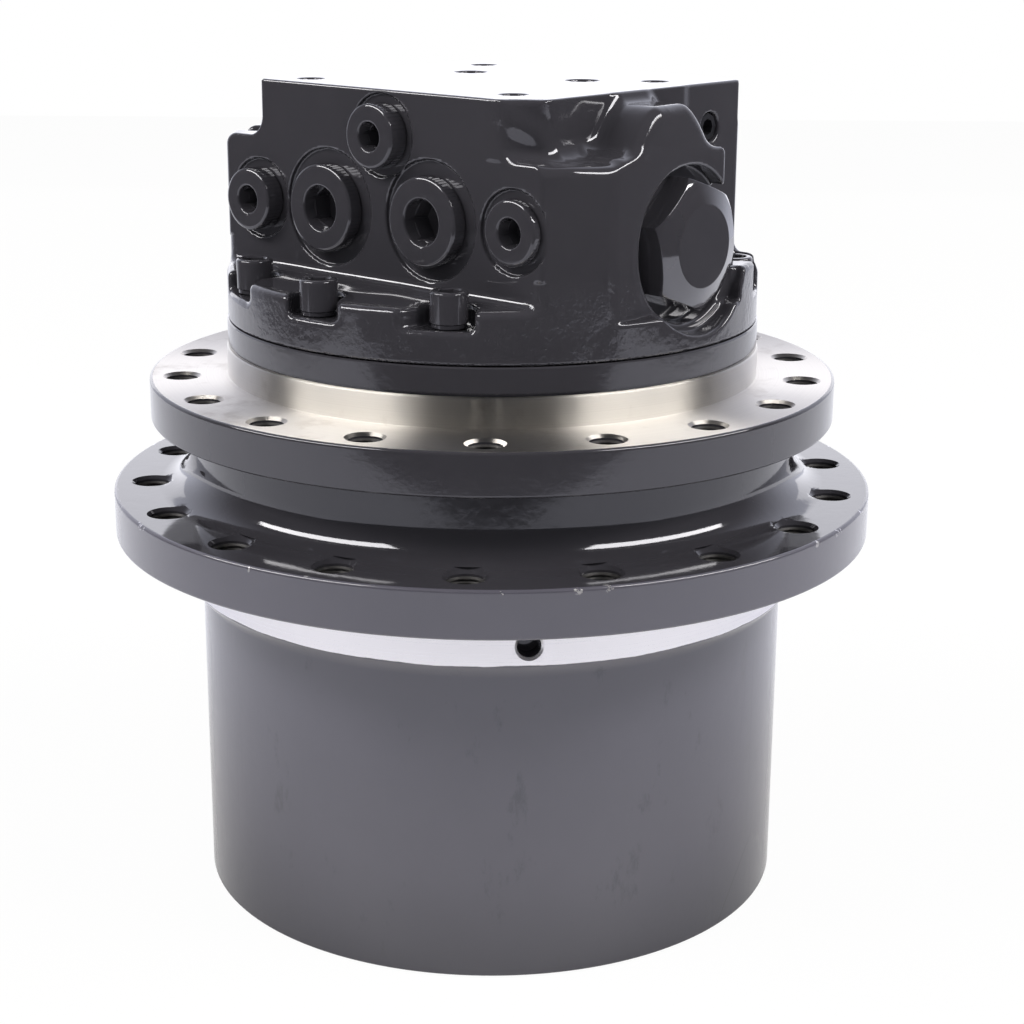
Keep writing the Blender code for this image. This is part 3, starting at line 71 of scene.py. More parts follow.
class Wire:
    """A socket of a material's nodes, so that shader maths on it reads as Python."""

    def __init__(self, tree, socket):
        self.tree = tree
        self.socket = socket

    def node(self, kind, settings=None, output=0, **given):
        """Any node: its settings first, then a value or a wire for each socket named or numbered."""
        made = self.tree.nodes.new("ShaderNode" + kind)
        for name, setting in (settings or {}).items():
            setattr(made, name, setting)
        for name, value in given.items():
            socket = made.inputs[int(name[1:])] if name[0] == "_" else made.inputs[name.replace("_", " ")]
            if isinstance(value, Wire):
                self.tree.links.new(value.socket, socket)
            else:
                socket.default_value = value
        return Wire(self.tree, made.outputs[output])

    def maths(self, operation, first, second=0.0):
        return self.node("Math", {"operation": operation}, _0=first, _1=second)

    def __add__(self, other):
        return self.maths("ADD", self, other)

    __radd__ = __add__

    def __sub__(self, other):
        return self.maths("SUBTRACT", self, other)

    def __rsub__(self, other):
        return self.maths("SUBTRACT", other, self)

    def __mul__(self, other):
        return self.maths("MULTIPLY", self, other)

    __rmul__ = __mul__

    def rise(self, low, high):
        """0 below low and 1 above high, with a soft step between them."""
        settings = {"interpolation_type": "SMOOTHSTEP"}
        return self.node("MapRange", settings, Value=self, From_Min=low, From_Max=high)

    def inside(self, low, high, soft):
        """1 between two values, with soft ends."""
        return self.rise(low - soft, low + soft) * (1 - self.rise(high - soft, high + soft))

    def at_most(self, other):
        return self.maths("MINIMUM", self, other)

    def at_least(self, other):
        return self.maths("MAXIMUM", self, other)

    def without_sign(self):
        return self.maths("ABSOLUTE", self)

    def length(self):
        return self.node("VectorMath", {"operation": "LENGTH"}, output=1, _0=self)

    def noise(self, per_metre, detail=3.0, roughness=0.5, stretch=(1, 1, 1)):
        """Grey noise over this vector, about 0.5 on average."""
        vector = self.node("VectorMath", {"operation": "MULTIPLY"}, _0=self, _1=stretch)
        return self.node("TexNoise", Vector=vector, Scale=per_metre, Detail=detail, Roughness=roughness)

    def towards(self, colour, other, by):
        """One colour turning into another by a factor."""
        return self.node("Mix", {"data_type": "RGBA"}, output=2, _0=by, _6=colour, _7=other)


def surface(name, metallic=0.0, coat=0.0, specular=0.5, tint=(1, 1, 1)):
    """A new material with what is even all over it, and its object coordinates."""
    made = bpy.data.materials.new(name)
    made.use_nodes = True
    tree = made.node_tree
    shader = tree.nodes["Principled BSDF"]
    shader.inputs["Metallic"].default_value = metallic
    shader.inputs["Coat Weight"].default_value = coat
    shader.inputs["Coat Roughness"].default_value = 0.06
    shader.inputs["Specular IOR Level"].default_value = specular
    shader.inputs["Specular Tint"].default_value = (*tint, 1)
    place = tree.nodes.new("ShaderNodeTexCoord").outputs["Object"]
    return made, Wire(tree, place)


def lay_on(made, place, colour, roughness, relief, metallic=None, coat=None):
    """Lays colour, roughness, relief in mm and the rest of a finish on a material's shader."""
    tree = made.node_tree
    shader = tree.nodes["Principled BSDF"]
    tree.links.new(colour.socket, shader.inputs["Base Color"])
    tree.links.new(roughness.socket, shader.inputs["Roughness"])
    if metallic:
        tree.links.new(metallic.socket, shader.inputs["Metallic"])
    if coat:
        tree.links.new(coat.socket, shader.inputs["Coat Weight"])
    bump = place.node("Bump", Height=relief, Distance=MM, Strength=1.0)
    tree.links.new(bump.socket, shader.inputs["Normal"])


def parts_of(place):
    """The three coordinates as wires, and the distance from the axis."""
    split = place.tree.nodes.new("ShaderNodeSeparateXYZ")
    place.tree.links.new(place.socket, split.inputs[0])
    x, y, z = (Wire(place.tree, socket) for socket in split.outputs)
    flat = place.node("CombineXYZ", _0=x, _1=y, _2=0.0)
    return x, y, z, flat.length()


def lathe(outline, steps, start=0.0):
    """A bmesh of a closed outline of (radius, height) in mm, turned round Z."""
    bm = bmesh.new()
    rings = []
    for radius, height in outline:
        if radius == 0:
            rings.append([bm.verts.new((0, 0, height * MM))] * steps)
            continue
        turns = [start + 2 * pi * k / steps for k in range(steps)]
        ring = [(radius * MM * cos(t), radius * MM * sin(t), height * MM) for t in turns]
        rings.append([bm.verts.new(corner) for corner in ring])
    for lower, upper in zip(rings, rings[1:] + rings[:1]):
        for k in range(steps):
            after = (k + 1) % steps
            corners = list(dict.fromkeys((lower[k], lower[after], upper[after], upper[k])))
            if len(corners) > 2:
                bm.faces.new(corners)
    bmesh.ops.recalc_face_normals(bm, faces=bm.faces)
    return bm


def arc(centre, radius, start, end, steps):
    """Points of an arc between two angles in degrees."""
    turns = [radians(start + (end - start) * k / steps) for k in range(steps + 1)]
    return [(centre[0] + radius * cos(t), centre[1] + radius * sin(t)) for t in turns]


def repeated(source, matrices):
    """One bmesh of copies of another."""
    mesh = bpy.data.meshes.new("copies")
    source.to_mesh(mesh)
    bm = bmesh.new()
    for matrix in matrices:
        first = len(bm.verts)
        bm.from_mesh(mesh)
        bm.verts.ensure_lookup_table()
        bmesh.ops.transform(bm, matrix=matrix, verts=bm.verts[first:])
    bpy.data.meshes.remove(mesh)
    return bm


def piece(name, bm, material=None, sharp=38):
    """An object on a bmesh, smooth up to an angle."""
    mesh = bpy.data.meshes.new(name)
    bm.to_mesh(mesh)
    bm.free()
    mesh.shade_smooth()
    mesh.set_sharp_from_angle(angle=radians(sharp))
    made = bpy.data.objects.new(name, mesh)
    bpy.context.scene.collection.objects.link(made)
    if material:
        mesh.materials.append(material)
    return made


def cut(made, tools, sharp=38):
    """Cuts a bmesh of tools out of a piece for good, and evens out its shading."""
    cutter = piece("cutter", tools)
    step = made.modifiers.new("cut", "BOOLEAN")
    step.operation = "DIFFERENCE"
    step.solver = "EXACT"
    step.object = cutter
    settle(made, sharp)
    bpy.data.objects.remove(cutter)


def settle(made, sharp=38):
    """Applies the modifiers of a piece."""
    graph = bpy.context.evaluated_depsgraph_get()
    mesh = bpy.data.meshes.new_from_object(made.evaluated_get(graph))
    made.modifiers.clear()
    made.data = mesh
    mesh.shade_smooth()
    mesh.set_sharp_from_angle(angle=radians(sharp))


def even(made):
    """Lets the flat faces rule the shading at their rounded edges."""
    step = made.modifiers.new("even", "WEIGHTED_NORMAL")
    step.keep_sharp = True
    step.weight = 100


def at_turn(radius, degrees, height=0.0):
    """A place in mm at an angle round the axis, turned to face out from it."""
    return Matrix.Rotation(radians(degrees), 4, "Z") @ Matrix.Translation((radius * MM, 0, height * MM))


def ring_of(count, radius, turn, height=0.0):
    return [at_turn(radius, turn + 360 * k / count, height) for k in range(count)]


def hole_tool(radius, low, high, mouth, depth, steps=32):
    """A drill with a countersink at both ends."""
    outline = [
        (0, low - 1),
        (mouth + 1, low - 1),
        (mouth, low),
        (radius, low + depth),
        (radius, high - depth),
        (mouth, high),
        (mouth + 1, high + 1),
        (0, high + 1),
    ]
    return lathe(outline, steps)


def thread(radius, low, high, pitch, depth, steps=32):
    """The thread in a hole: a sleeve whose bore zigzags, set into the hole's wall."""
    turns = int((high - low) / pitch)
    outline = []
    for k in range(turns):
        outline.append((radius - depth * 0.15, low + k * pitch))
        outline.append((radius - depth, low + (k + 0.4) * pitch))
        outline.append((radius - depth, low + (k + 0.6) * pitch))
    outline.append((radius - depth * 0.15, low + turns * pitch))
    outline += [(radius + 0.3, low + turns * pitch), (radius + 0.3, low)]
    return lathe(outline, steps)


TEETH = 50
TOOTH_MODULE = 4.0
TOOTH_PLAY = 0.32
RING_TIP_R = 96.8
RING_ROOT_R = 104.0
PRESSURE_ANGLE = radians(20)


def ring_spaces(low, high):
    """The spaces between the ring gear's teeth, as one tool with involute flanks."""
    pitch_r = TOOTH_MODULE * TEETH / 2
    base_r = pitch_r * cos(PRESSURE_ANGLE)
    points = []
    levels = [RING_TIP_R - 1, 98.4, 100, 102, RING_ROOT_R - 0.4]
    for k in range(TEETH):
        middle = 2 * pi * k / TEETH + pi / TEETH
        for side in (-1, 1):
            for radius in levels if side < 0 else levels[::-1]:
                lean = np.tan(np.arccos(base_r / radius)) - np.arccos(base_r / radius)
                half = pi / (2 * TEETH) + TOOTH_PLAY / pitch_r
                half += np.tan(PRESSURE_ANGLE) - PRESSURE_ANGLE - lean
                points.append((radius * cos(middle + side * half), radius * sin(middle + side * half)))
    bm = bmesh.new()
    lower = [bm.verts.new((x * MM, y * MM, low * MM)) for x, y in points]
    upper = [bm.verts.new((x * MM, y * MM, high * MM)) for x, y in points]
    bm.faces.new(lower)
    bm.faces.new(upper)
    for k in range(len(points)):
        after = (k + 1) % len(points)
        bm.faces.new((lower[k], lower[after], upper[after], upper[k]))
    bmesh.ops.recalc_face_normals(bm, faces=bm.faces)
    return bm


hub_outline = [
    (DRUM_R - 1, 0),
    (DRUM_R - 4 / 9, 1 / 9),
    (DRUM_R - 1 / 9, 4 / 9),
    (DRUM_R, 1),
    (DRUM_R, DRUM_TOP),
    (BAND_R - 0.5, 124.8),
    (BAND_R, 125.6),
    (BAND_R, 145.1),
    (BAND_R + 0.4, SPROCKET_LOW),
    *arc((SPROCKET_R - 1.3, SPROCKET_LOW + 1.3), 1.3, -90, 0, 4),
    *arc((SPROCKET_R - 1.3, SPROCKET_TOP - 1.3), 1.3, 0, 90, 4),
    *arc((NECK_R + NECK_FILLET, SPROCKET_TOP + NECK_FILLET), NECK_FILLET, 270, 180, 12),
    (NECK_R, HUB_TOP - 1.0),
    (NECK_R - 1.0, HUB_TOP),
    (SEAL_SEAT_R + 0.6, HUB_TOP),
    (SEAL_SEAT_R, HUB_TOP - 0.6),
    (SEAL_SEAT_R, 177.65),
    (108, 177.65),
    (108, 165.9),
    (BEARING_SEAT_R, 165.9),
    (BEARING_SEAT_R, 140.3),
    (90.66, 140.3),
    (90.66, 128.3),
    (BEARING_SEAT_R, 128.3),
    (BEARING_SEAT_R, 106),
    (105, 106),
    (105, RING_HIGH),
    (RING_TIP_R, RING_HIGH),
    (RING_TIP_R, RING_LOW),
    (COVER_SEAT_R, RING_LOW),
    (COVER_SEAT_R, 7.6),
    (SNAP_GROOVE_R, 7.6),
    (SNAP_GROOVE_R, 4),
    (COVER_SEAT_R, 4),
    (COVER_SEAT_R, 0.6),
    (COVER_SEAT_R + 0.6, 0),
]
hub = piece("hub_casting", lathe(hub_outline, HUB_STEPS))
cut(hub, ring_spaces(RING_LOW - 1.2, RING_HIGH + 3))
sprocket_holes = ring_of(FLANGE_HOLES, SPROCKET_PCR, SPROCKET_TURN)
cut(hub, repeated(hole_tool(SPROCKET_HOLE_R, SPROCKET_LOW, SPROCKET_TOP, 8.2, 1.2), sprocket_holes))
band_drill = lathe([(0, -8), (4.4, -8), (4.4, -1), (5.5, 0.1), (5.5, 8), (0, 8)], 24)
band_hole_at = at_turn(BAND_R, BAND_HOLE_TURN, BAND_HOLE_Z) @ Matrix.Rotation(radians(90), 4, "Y")
cut(hub, repeated(band_drill, [band_hole_at]))
even(hub)

# The hub's finish: satin black on the drum and the rim, bare turned iron on the band, gloss enamel
# above it, and a few chips along the arris of the flange.
ENAMEL_DARK = (0.035, 0.0335, 0.040, 1)
ENAMEL_LIGHT = (0.048, 0.0465, 0.054, 1)
ENAMEL_TINT = (0.90, 0.91, 1.0)
hub_paint, place = surface("hub_paint", tint=ENAMEL_TINT)
_, _, z, radius = parts_of(place)
edge_wander = (place.noise(60, 4) - 0.5) * 1.6 * MM
bare = (z + edge_wander).inside(0.1255, 0.1452, 0.0002) * radius.inside(0.1212, 0.1232, 0.0003)
drum = 1 - (z + edge_wander * 0.4).rise(0.1250, 0.1256)
cloud = place.noise(14, 4, 0.6)
rim = (radius + edge_wander * 0.3).rise(0.1496, 0.1502)
satin = drum.at_least(rim)
scuff_field = place.noise(55, 6, 0.7, (1, 1, 0.45))
scuffs = scuff_field.rise(0.58, 0.70) * drum
drag = (place.noise(9, 1, 0.4, (1, 1, 0.8)) - 0.5).without_sign()
drag_marks = (1 - drag.rise(0.0004, 0.0028)) * place.noise(12, 1).rise(0.54, 0.64) * drum
# Painted shade: the drum's satin colour turns darker towards its foot, where it stands on the table.
painted_foot_shade = 1 - z.rise(-0.010, 0.050)
streaks = place.noise(900, 2, 0.5, (1, 1, 0.02)).rise(0.55, 0.9) * drum
turning_lines = place.node("CombineXYZ", _0=0.0, _1=0.0, _2=z)
turned_noise = turning_lines.noise(2600, 3, 0.7)
arris = radius.rise(0.1492, 0.1499) * z.rise(0.1610, 0.1628)
chips = place.noise(150, 4, 0.7).rise(0.635, 0.65) * arris
bare_all = (bare + chips).at_most(1.0)
enamel_colour = place.towards(ENAMEL_DARK, ENAMEL_LIGHT, cloud)
satin_colour = place.towards((0.074, 0.071, 0.090, 1), (0.100, 0.096, 0.121, 1), cloud)
marks = (scuffs * 0.5).at_least(drag_marks * 0.55)
satin_colour = place.towards(satin_colour, (0.035, 0.034, 0.040, 1), marks)
satin_colour = place.towards(satin_colour, (0.036, 0.035, 0.043, 1), painted_foot_shade * 0.75)
iron_colour = place.towards((0.88, 0.86, 0.87, 1), (0.99, 0.965, 0.975, 1), turned_noise)
colour = place.towards(enamel_colour, satin_colour, satin)
colour = place.towards(colour, iron_colour, bare_all)
rough = 0.06 + cloud * 0.04 + satin * (0.30 + streaks * 0.08 - scuffs * 0.10)
rough = rough * (1 - bare_all) + bare_all * (0.22 + turned_noise * 0.14)
peel = (place.noise(150, 2) * 0.045 + place.noise(420, 2) * 0.012) * (1 - bare_all)
relief = peel + bare * turned_noise * 0.03 - chips * 0.25
coat = (0.5 + satin * 0.5) * (1 - bare_all)
lay_on(hub_paint, place, colour, rough, relief, bare_all * 0.9, coat)
hub.data.materials.append(hub_paint)
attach(hub, "hub")
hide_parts("hub")

# Threads of the eighteen sprocket holes: tapped right through the flange after painting, and left
# dark with oil. Each is a sleeve set into the wall of its hole.
THREAD_PITCH = 1.5
dark_thread, place = surface("oiled_thread", metallic=0.7)
colour = place.towards((0.03, 0.03, 0.034, 1), (0.16, 0.155, 0.15, 1), place.noise(500, 3))
lay_on(dark_thread, place, colour, 0.30 + place.noise(300) * 0.2, place.noise(2500, 2) * 0.03)
sprocket_threads = piece(
    "sprocket_threads",
    repeated(
        thread(SPROCKET_HOLE_R, SPROCKET_LOW + 1.1, SPROCKET_TOP - 1.1, THREAD_PITCH, 0.85),
        sprocket_holes,
    ),
    dark_thread,
    25,
)
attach(sprocket_threads, "hub")

# Spindle: forged steel, turned. Its rim and underside are sprayed with the drive, the mounting face
# and the pilot stay bare, and the ring above the pilot carries the motor housing.
FRAME_R = 135.4
FRAME_LOW = 191.2
FRAME_FACE = 207.6
FRAME_PCR = 122.8
FRAME_TURN = 10.4
FRAME_HOLE_R = 6.2
PILOT_R = 105.0
PILOT_TOP = 219.4
SPINDLE_TOP = 230.1
SCREW_TURNS = (-121, -90, -57.8, 30, 66, 108, 150, 210)
SCREW_PCR = 95.0
spindle_outline = [
    (14, 106),
    (71.7, 106),
    (71.7, 162.9),
    (83.7, 162.9),
    (83.7, 189.4),
    (108, 189.4),
    (108, 179.15),
    (111, 179.15),
    (111, 190.6),
    (111.6, FRAME_LOW),
    *arc((FRAME_R - 1.2, FRAME_LOW + 1.2), 1.2, -90, 0, 4),
    *arc((FRAME_R - 1.2, FRAME_FACE - 1.2), 1.2, 0, 90, 4),
    (PILOT_R + 0.8, FRAME_FACE),
    (PILOT_R, FRAME_FACE + 0.6),
    (PILOT_R, PILOT_TOP - 0.9),
    (PILOT_R - 0.6, PILOT_TOP - 0.1),
    (PILOT_R - 1.7, PILOT_TOP),
    (PILOT_R - 1.7, PILOT_TOP + 0.9),
    (PILOT_R - 0.5, PILOT_TOP + 1.3),
    (PILOT_R - 0.5, SPINDLE_TOP - 0.5),
    (PILOT_R - 1.0, SPINDLE_TOP),
    (57.7, SPINDLE_TOP),
    (57.7, 127),
    (20.3, 127),
    (20.3, 116),
    (14, 116),
]
spindle = piece("spindle_forging", lathe(spindle_outline, HUB_STEPS))
frame_holes = ring_of(FLANGE_HOLES, FRAME_PCR, FRAME_TURN)
cut(spindle, repeated(hole_tool(FRAME_HOLE_R, FRAME_LOW, FRAME_FACE, 7.5, 1.1), frame_holes))
screw_drill = lathe([(0, 211.1), (5.3, 211.1), (5.3, 231.1), (0, 231.1)], 16)
cut(spindle, repeated(screw_drill, [at_turn(SCREW_PCR, turn) for turn in SCREW_TURNS]))
even(spindle)

spindle_paint, place = surface("spindle_paint", tint=ENAMEL_TINT)
_, _, z, radius = parts_of(place)
wander = (place.noise(70, 4) - 0.5) * 1.4 * MM
machined = (z + wander * 0.2).rise(0.2068, 0.2072) * (1 - (z + wander * 0.3).rise(0.2193, 0.2195))
bare = machined * (1 - (radius + wander).rise(0.1340, 0.1344))
cloud = place.noise(16, 4, 0.6)
rings = place.node("CombineXYZ", _0=radius, _1=0.0, _2=z).noise(2400, 3, 0.7)
stain = place.noise(45, 5, 0.65).rise(0.55, 0.75)
enamel_colour = place.towards(ENAMEL_DARK, ENAMEL_LIGHT, cloud)
steel_colour = place.towards((0.56, 0.53, 0.49, 1), (0.76, 0.73, 0.68, 1), rings)
steel_colour = place.towards(steel_colour, (0.36, 0.31, 0.26, 1), stain * 0.4)
colour = place.towards(enamel_colour, steel_colour, bare)
rough = (0.07 + cloud * 0.05) * (1 - bare) + bare * (0.26 + rings * 0.14 + stain * 0.12)
peel = place.noise(150, 2) * 0.055 + place.noise(520, 3, 0.6) * 0.035
relief = peel * (1 - bare) + bare * rings * 0.06
lay_on(spindle_paint, place, colour, rough, relief, bare * 0.97, (1 - bare) * 0.5)
spindle.data.materials.append(spindle_paint)

# The mounting face and the pilot: bare steel that spreads the light across its turning marks, with
# a little rust bloom, on the faces from the pilot's top out to the rim.
bare_forging, place = surface("bare_forging", metallic=1.0)
shader = bare_forging.node_tree.nodes["Principled BSDF"]
shader.inputs["Anisotropic"].default_value = 1.0
shader.inputs["Anisotropic Rotation"].default_value = 0.25
_, _, z, radius = parts_of(place)
rings = place.node("CombineXYZ", _0=radius, _1=0.0, _2=z).noise(2400, 3, 0.7)
stain = place.noise(45, 5, 0.65).rise(0.55, 0.75)
colour = place.towards((0.67, 0.64, 0.60, 1), (0.85, 0.82, 0.77, 1), rings)
colour = place.towards(colour, (0.36, 0.31, 0.26, 1), stain * 0.35)
lay_on(bare_forging, place, colour, 0.40 + rings * 0.06 + stain * 0.05, rings * 0.03)
spindle.data.materials.append(bare_forging)
for face in spindle.data.polygons:
    from_axis = Vector(face.center[:2]).length / MM
    height = face.center.z / MM
    if PILOT_R - 1.8 < from_axis < FRAME_R - 1.0 and FRAME_FACE - 1.2 < height < PILOT_TOP + 0.1:
        face.material_index = 1
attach(spindle, "spindle_and_motor_housing")
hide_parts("spindle")

# Threads of the eighteen frame holes: tapped through the frame flange, and dark with oil as those of
# the sprocket are.
frame_threads = piece(
    "frame_threads",
    repeated(thread(FRAME_HOLE_R, FRAME_LOW + 1.0, FRAME_FACE - 1.0, THREAD_PITCH, 0.8), frame_holes),
    dark_thread,
    25,
)
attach(frame_threads, "spindle_and_motor_housing")

# Motor housing: an iron casting with milled faces, bored for the valve, the plugs and the ports, and
# sprayed with thick gloss enamel. Its skin is found on a field of distances, in mm, because cast
# corners all run into each other with soft radii.
CELL = 1.0
HOUSING_R = 104.0
HOUSING_LOW = 230.4
BASE_TOP = 253.6
SHOULDER = 299.6
PORT_FACE = 321.4
BLOCK_LEFT = 60.0
BLOCK_RIGHT = 74.0
BLOCK_LOW = SHOULDER - 20
SIDE_FLAT = 94.8
BOSS_START = 60.0
BOSS_MIDDLE = -8.5
BOSS_HALF = 29.0
CORNER_CUT = 11.5
LEDGE = 249.5
LEDGE_FILLET = 4.1
POCKET_FLOOR = 242.2
POCKET_R = 9.0
POCKET_REACH = 20.0
FLUTE_TURNS = (150, 210)
FLUTE_TOP = 307.6
# How far the mouths of the front pockets open to the left and to the right, by the screw's turn.
POCKET_MOUTHS = {-121: (9.0, 45.0), -90: (5.5, 31.0), -57.8: (29.0, 13.5)}
VALVE_Z = 267.0
VALVE_SEAT = 88.5
PLUG_Z = 275.8
UPPER_Z = 304.6
PLUG_FACE = 66.0
SPOT_DEPTH = 1.5
REAR_FACE = 60.0
MAIN_PORTS = (-28.0, 28.0)
GAUGE_Y = 40.8
# Each plug: across, height, radii of head and spot face, rise over the face, key, radius of shank.
PLUGS = {
    "port_plug_1": (-61.8, PLUG_Z, 11.9, 15.2, 6.8, 8.5, 6.5),
    "port_plug_2": (-24.0, PLUG_Z, 16.5, 22.0, 4.8, 14.0, 10.5),
    "port_plug_3": (4.0, UPPER_Z, 11.9, 15.2, 6.8, 8.5, 6.5),
    "port_plug_4": (28.0, PLUG_Z, 16.5, 22.0, 4.8, 14.0, 10.5),
    "port_plug_5": (67.7, PLUG_Z, 11.9, 15.2, 2.5, 8.5, 6.5),
}
TOP_BOLTS = ((-46.7, -52.1), (51.9, -48.0), (-44.2, 43.9), (54.8, 30.4))
TOP_PORTS = ((-24.1, 13.7), (32.4, 14.3))


def meet(a, b, r):
    """Where both solids are, with the edge between them rounded."""
    return np.minimum(np.maximum(a, b), -r) + np.hypot(np.maximum(a + r, 0), np.maximum(b + r, 0))


def weld(a, b, r):
    """Either solid, with a fillet between them."""
    return np.maximum(np.minimum(a, b), r) - np.hypot(np.maximum(r - a, 0), np.maximum(r - b, 0))


def less(a, tool, r):
    """A solid less a tool, with the rim of the cut rounded."""
    return meet(a, -tool, r)


def bore(across, along, radius, depth, r=0.3):
    """A blind hole: its distance across the axis, and inwards from the face."""
    return meet(across - radius, along - depth, r)


def housing_field(x, y, z):
    """Distance from the skin of the housing, in mm, less than 0 inside it."""
    around = np.hypot(x, y)
    cast = np.sin(x * 0.21 + 1.3) * np.sin(y * 0.19)
    cast = 0.35 * (cast + np.sin(z * 0.33 + x * 0.12) * np.sin(y * 0.27 + z * 0.1))
    body = meet(around - HOUSING_R, z - SHOULDER - cast * 0.8, 4.5)
    body = meet(body, HOUSING_LOW - z, 0.7)
    block = meet(-BLOCK_LEFT - x, x - BLOCK_RIGHT, 1.2)
    block = meet(meet(block, z - PORT_FACE, 0.9), BLOCK_LOW - z, 0.9)
    solid = weld(body, block, 8.0)
    from_middle = np.abs(y - BOSS_MIDDLE)
    rise = np.clip((from_middle - 7) / 21.5, 0, 1)
    top = SHOULDER + 18 * (0.5 + 0.5 * np.cos(pi * rise)) - 0.3
    boss = meet((z - top) * 0.72, x - SIDE_FLAT, 5.0)
    boss = meet(boss, BOSS_START - x, 1.0)
    boss = meet(boss, BLOCK_LOW - z, 1.0)
    boss = meet(boss, from_middle - BOSS_HALF, 1.0)
    solid = meet(weld(solid, boss, 5.0), z - PORT_FACE, 0.9)
    ledge_edge = np.where(z < BASE_TOP + 6, 2.6, 1.1)
    plug_mill = meet(y + PLUG_FACE, LEDGE - z + cast * 0.3, LEDGE_FILLET)
    solid = less(solid, plug_mill, ledge_edge)
    rear_mill = meet(REAR_FACE - y, LEDGE - z + cast * 0.3, LEDGE_FILLET)
    solid = less(solid, rear_mill, ledge_edge)
    side_mill = meet(meet(BLOCK_RIGHT - x, 22 - y, 6.0), BASE_TOP + 2 - z, 4.0)
    solid = less(solid, side_mill, 2.0)
    right_flat = meet(meet(SIDE_FLAT - x, y - 26, 1.0), BASE_TOP - 10 - z, 1.5)
    solid = less(solid, right_flat, 1.2)
    left_flat = meet(x + SIDE_FLAT, BASE_TOP - 10 - z, 1.5)
    solid = less(solid, left_flat, 1.2)
    corner = (x - y - (BLOCK_RIGHT + PLUG_FACE - CORNER_CUT)) * 0.7071
    corner = meet(-corner - cast * 2.0, SHOULDER + 1 - z, 4.0)
    solid = less(solid, corner, 2.5)
    for turn in SCREW_TURNS:
        c, s = cos(radians(turn)), sin(radians(turn))
        out = x * c + y * s - SCREW_PCR
        side = y * c - x * s
        from_screw = np.hypot(out, side)
        left, right = POCKET_MOUTHS.get(turn, (POCKET_R, POCKET_R))
        flare_left = (left - POCKET_R) / POCKET_REACH
        flare_right = (right - POCKET_R) / POCKET_REACH
        left_wall = (-side - POCKET_R - flare_left * out) / (1 + flare_left ** 2) ** 0.5
        right_wall = (side - POCKET_R - flare_right * out) / (1 + flare_right ** 2) ** 0.5
        mouth = np.maximum(np.maximum(left_wall, right_wall), -out)
        pocket_top = FLUTE_TOP if turn in FLUTE_TURNS else BASE_TOP + 3
        pocket = meet(weld(from_screw - POCKET_R, mouth, 3.0), POCKET_FLOOR - z, 2.5)
        pocket = meet(pocket, z - pocket_top, 2.0)
        solid = less(solid, pocket, 2.0)
        solid = np.maximum(solid, -np.maximum(from_screw - 5.3, z - POCKET_FLOOR - 2))
    off_axis = np.hypot(y, z - VALVE_Z)
    along = np.abs(x)
    solid = less(solid, meet(off_axis - 28.8, VALVE_SEAT - along, 0.8), 1.0)
    solid = less(solid, meet(off_axis - 32.0, 95.8 - along, 1.0), 1.5)
    solid = less(solid, meet(off_axis - 16.8, 73.5 - along, 0.5), 0.6)
    solid = np.maximum(solid, 9.3 - off_axis)
    for px, pz, head, spot, rise_of, key, shank in PLUGS.values():
        across = np.hypot(x - px, z - pz)
        inward = y + PLUG_FACE
        solid = less(solid, bore(across, inward, spot, SPOT_DEPTH, 0.4), 0.5)
        solid = less(solid, bore(across, inward, shank + 0.3, 14.5), 0.4)
    for px in MAIN_PORTS:
        across = np.hypot(x - px, z - PLUG_Z)
        solid = less(solid, bore(across, REAR_FACE - y, 15.5, 1.0), 0.5)
        solid = less(solid, bore(across, REAR_FACE - y, 10.5, 17.0), 1.0)
    solid = less(solid, bore(np.hypot(x, z - UPPER_Z), REAR_FACE - y, 7.8, 16.0), 1.2)
    gauge = np.hypot(y - GAUGE_Y, z - UPPER_Z)
    solid = less(solid, bore(gauge, BLOCK_RIGHT - x, 5.5, 12.0), 0.8)
    for px, py in TOP_BOLTS:
        solid = less(solid, bore(np.hypot(x - px, y - py), PORT_FACE - z, 4.4, 14.0), 1.0)
    for px, py in TOP_PORTS:
        solid = less(solid, bore(np.hypot(x - px, y - py), PORT_FACE - z, 5.6, 14.0), 1.0)
    return less(solid, bore(around, z - HOUSING_LOW, 20.3, 11.3), 0.5)


def slope(field, points, step=0.25):
    """The direction away from a field's skin at each point."""
    found = np.empty_like(points)
    for axis in range(3):
        ahead, behind = points.copy(), points.copy()
        ahead[:, axis] += step
        behind[:, axis] -= step
        found[:, axis] = field(*ahead.T) - field(*behind.T)
    return found / np.maximum(np.linalg.norm(found, axis=1, keepdims=True), 1e-9)


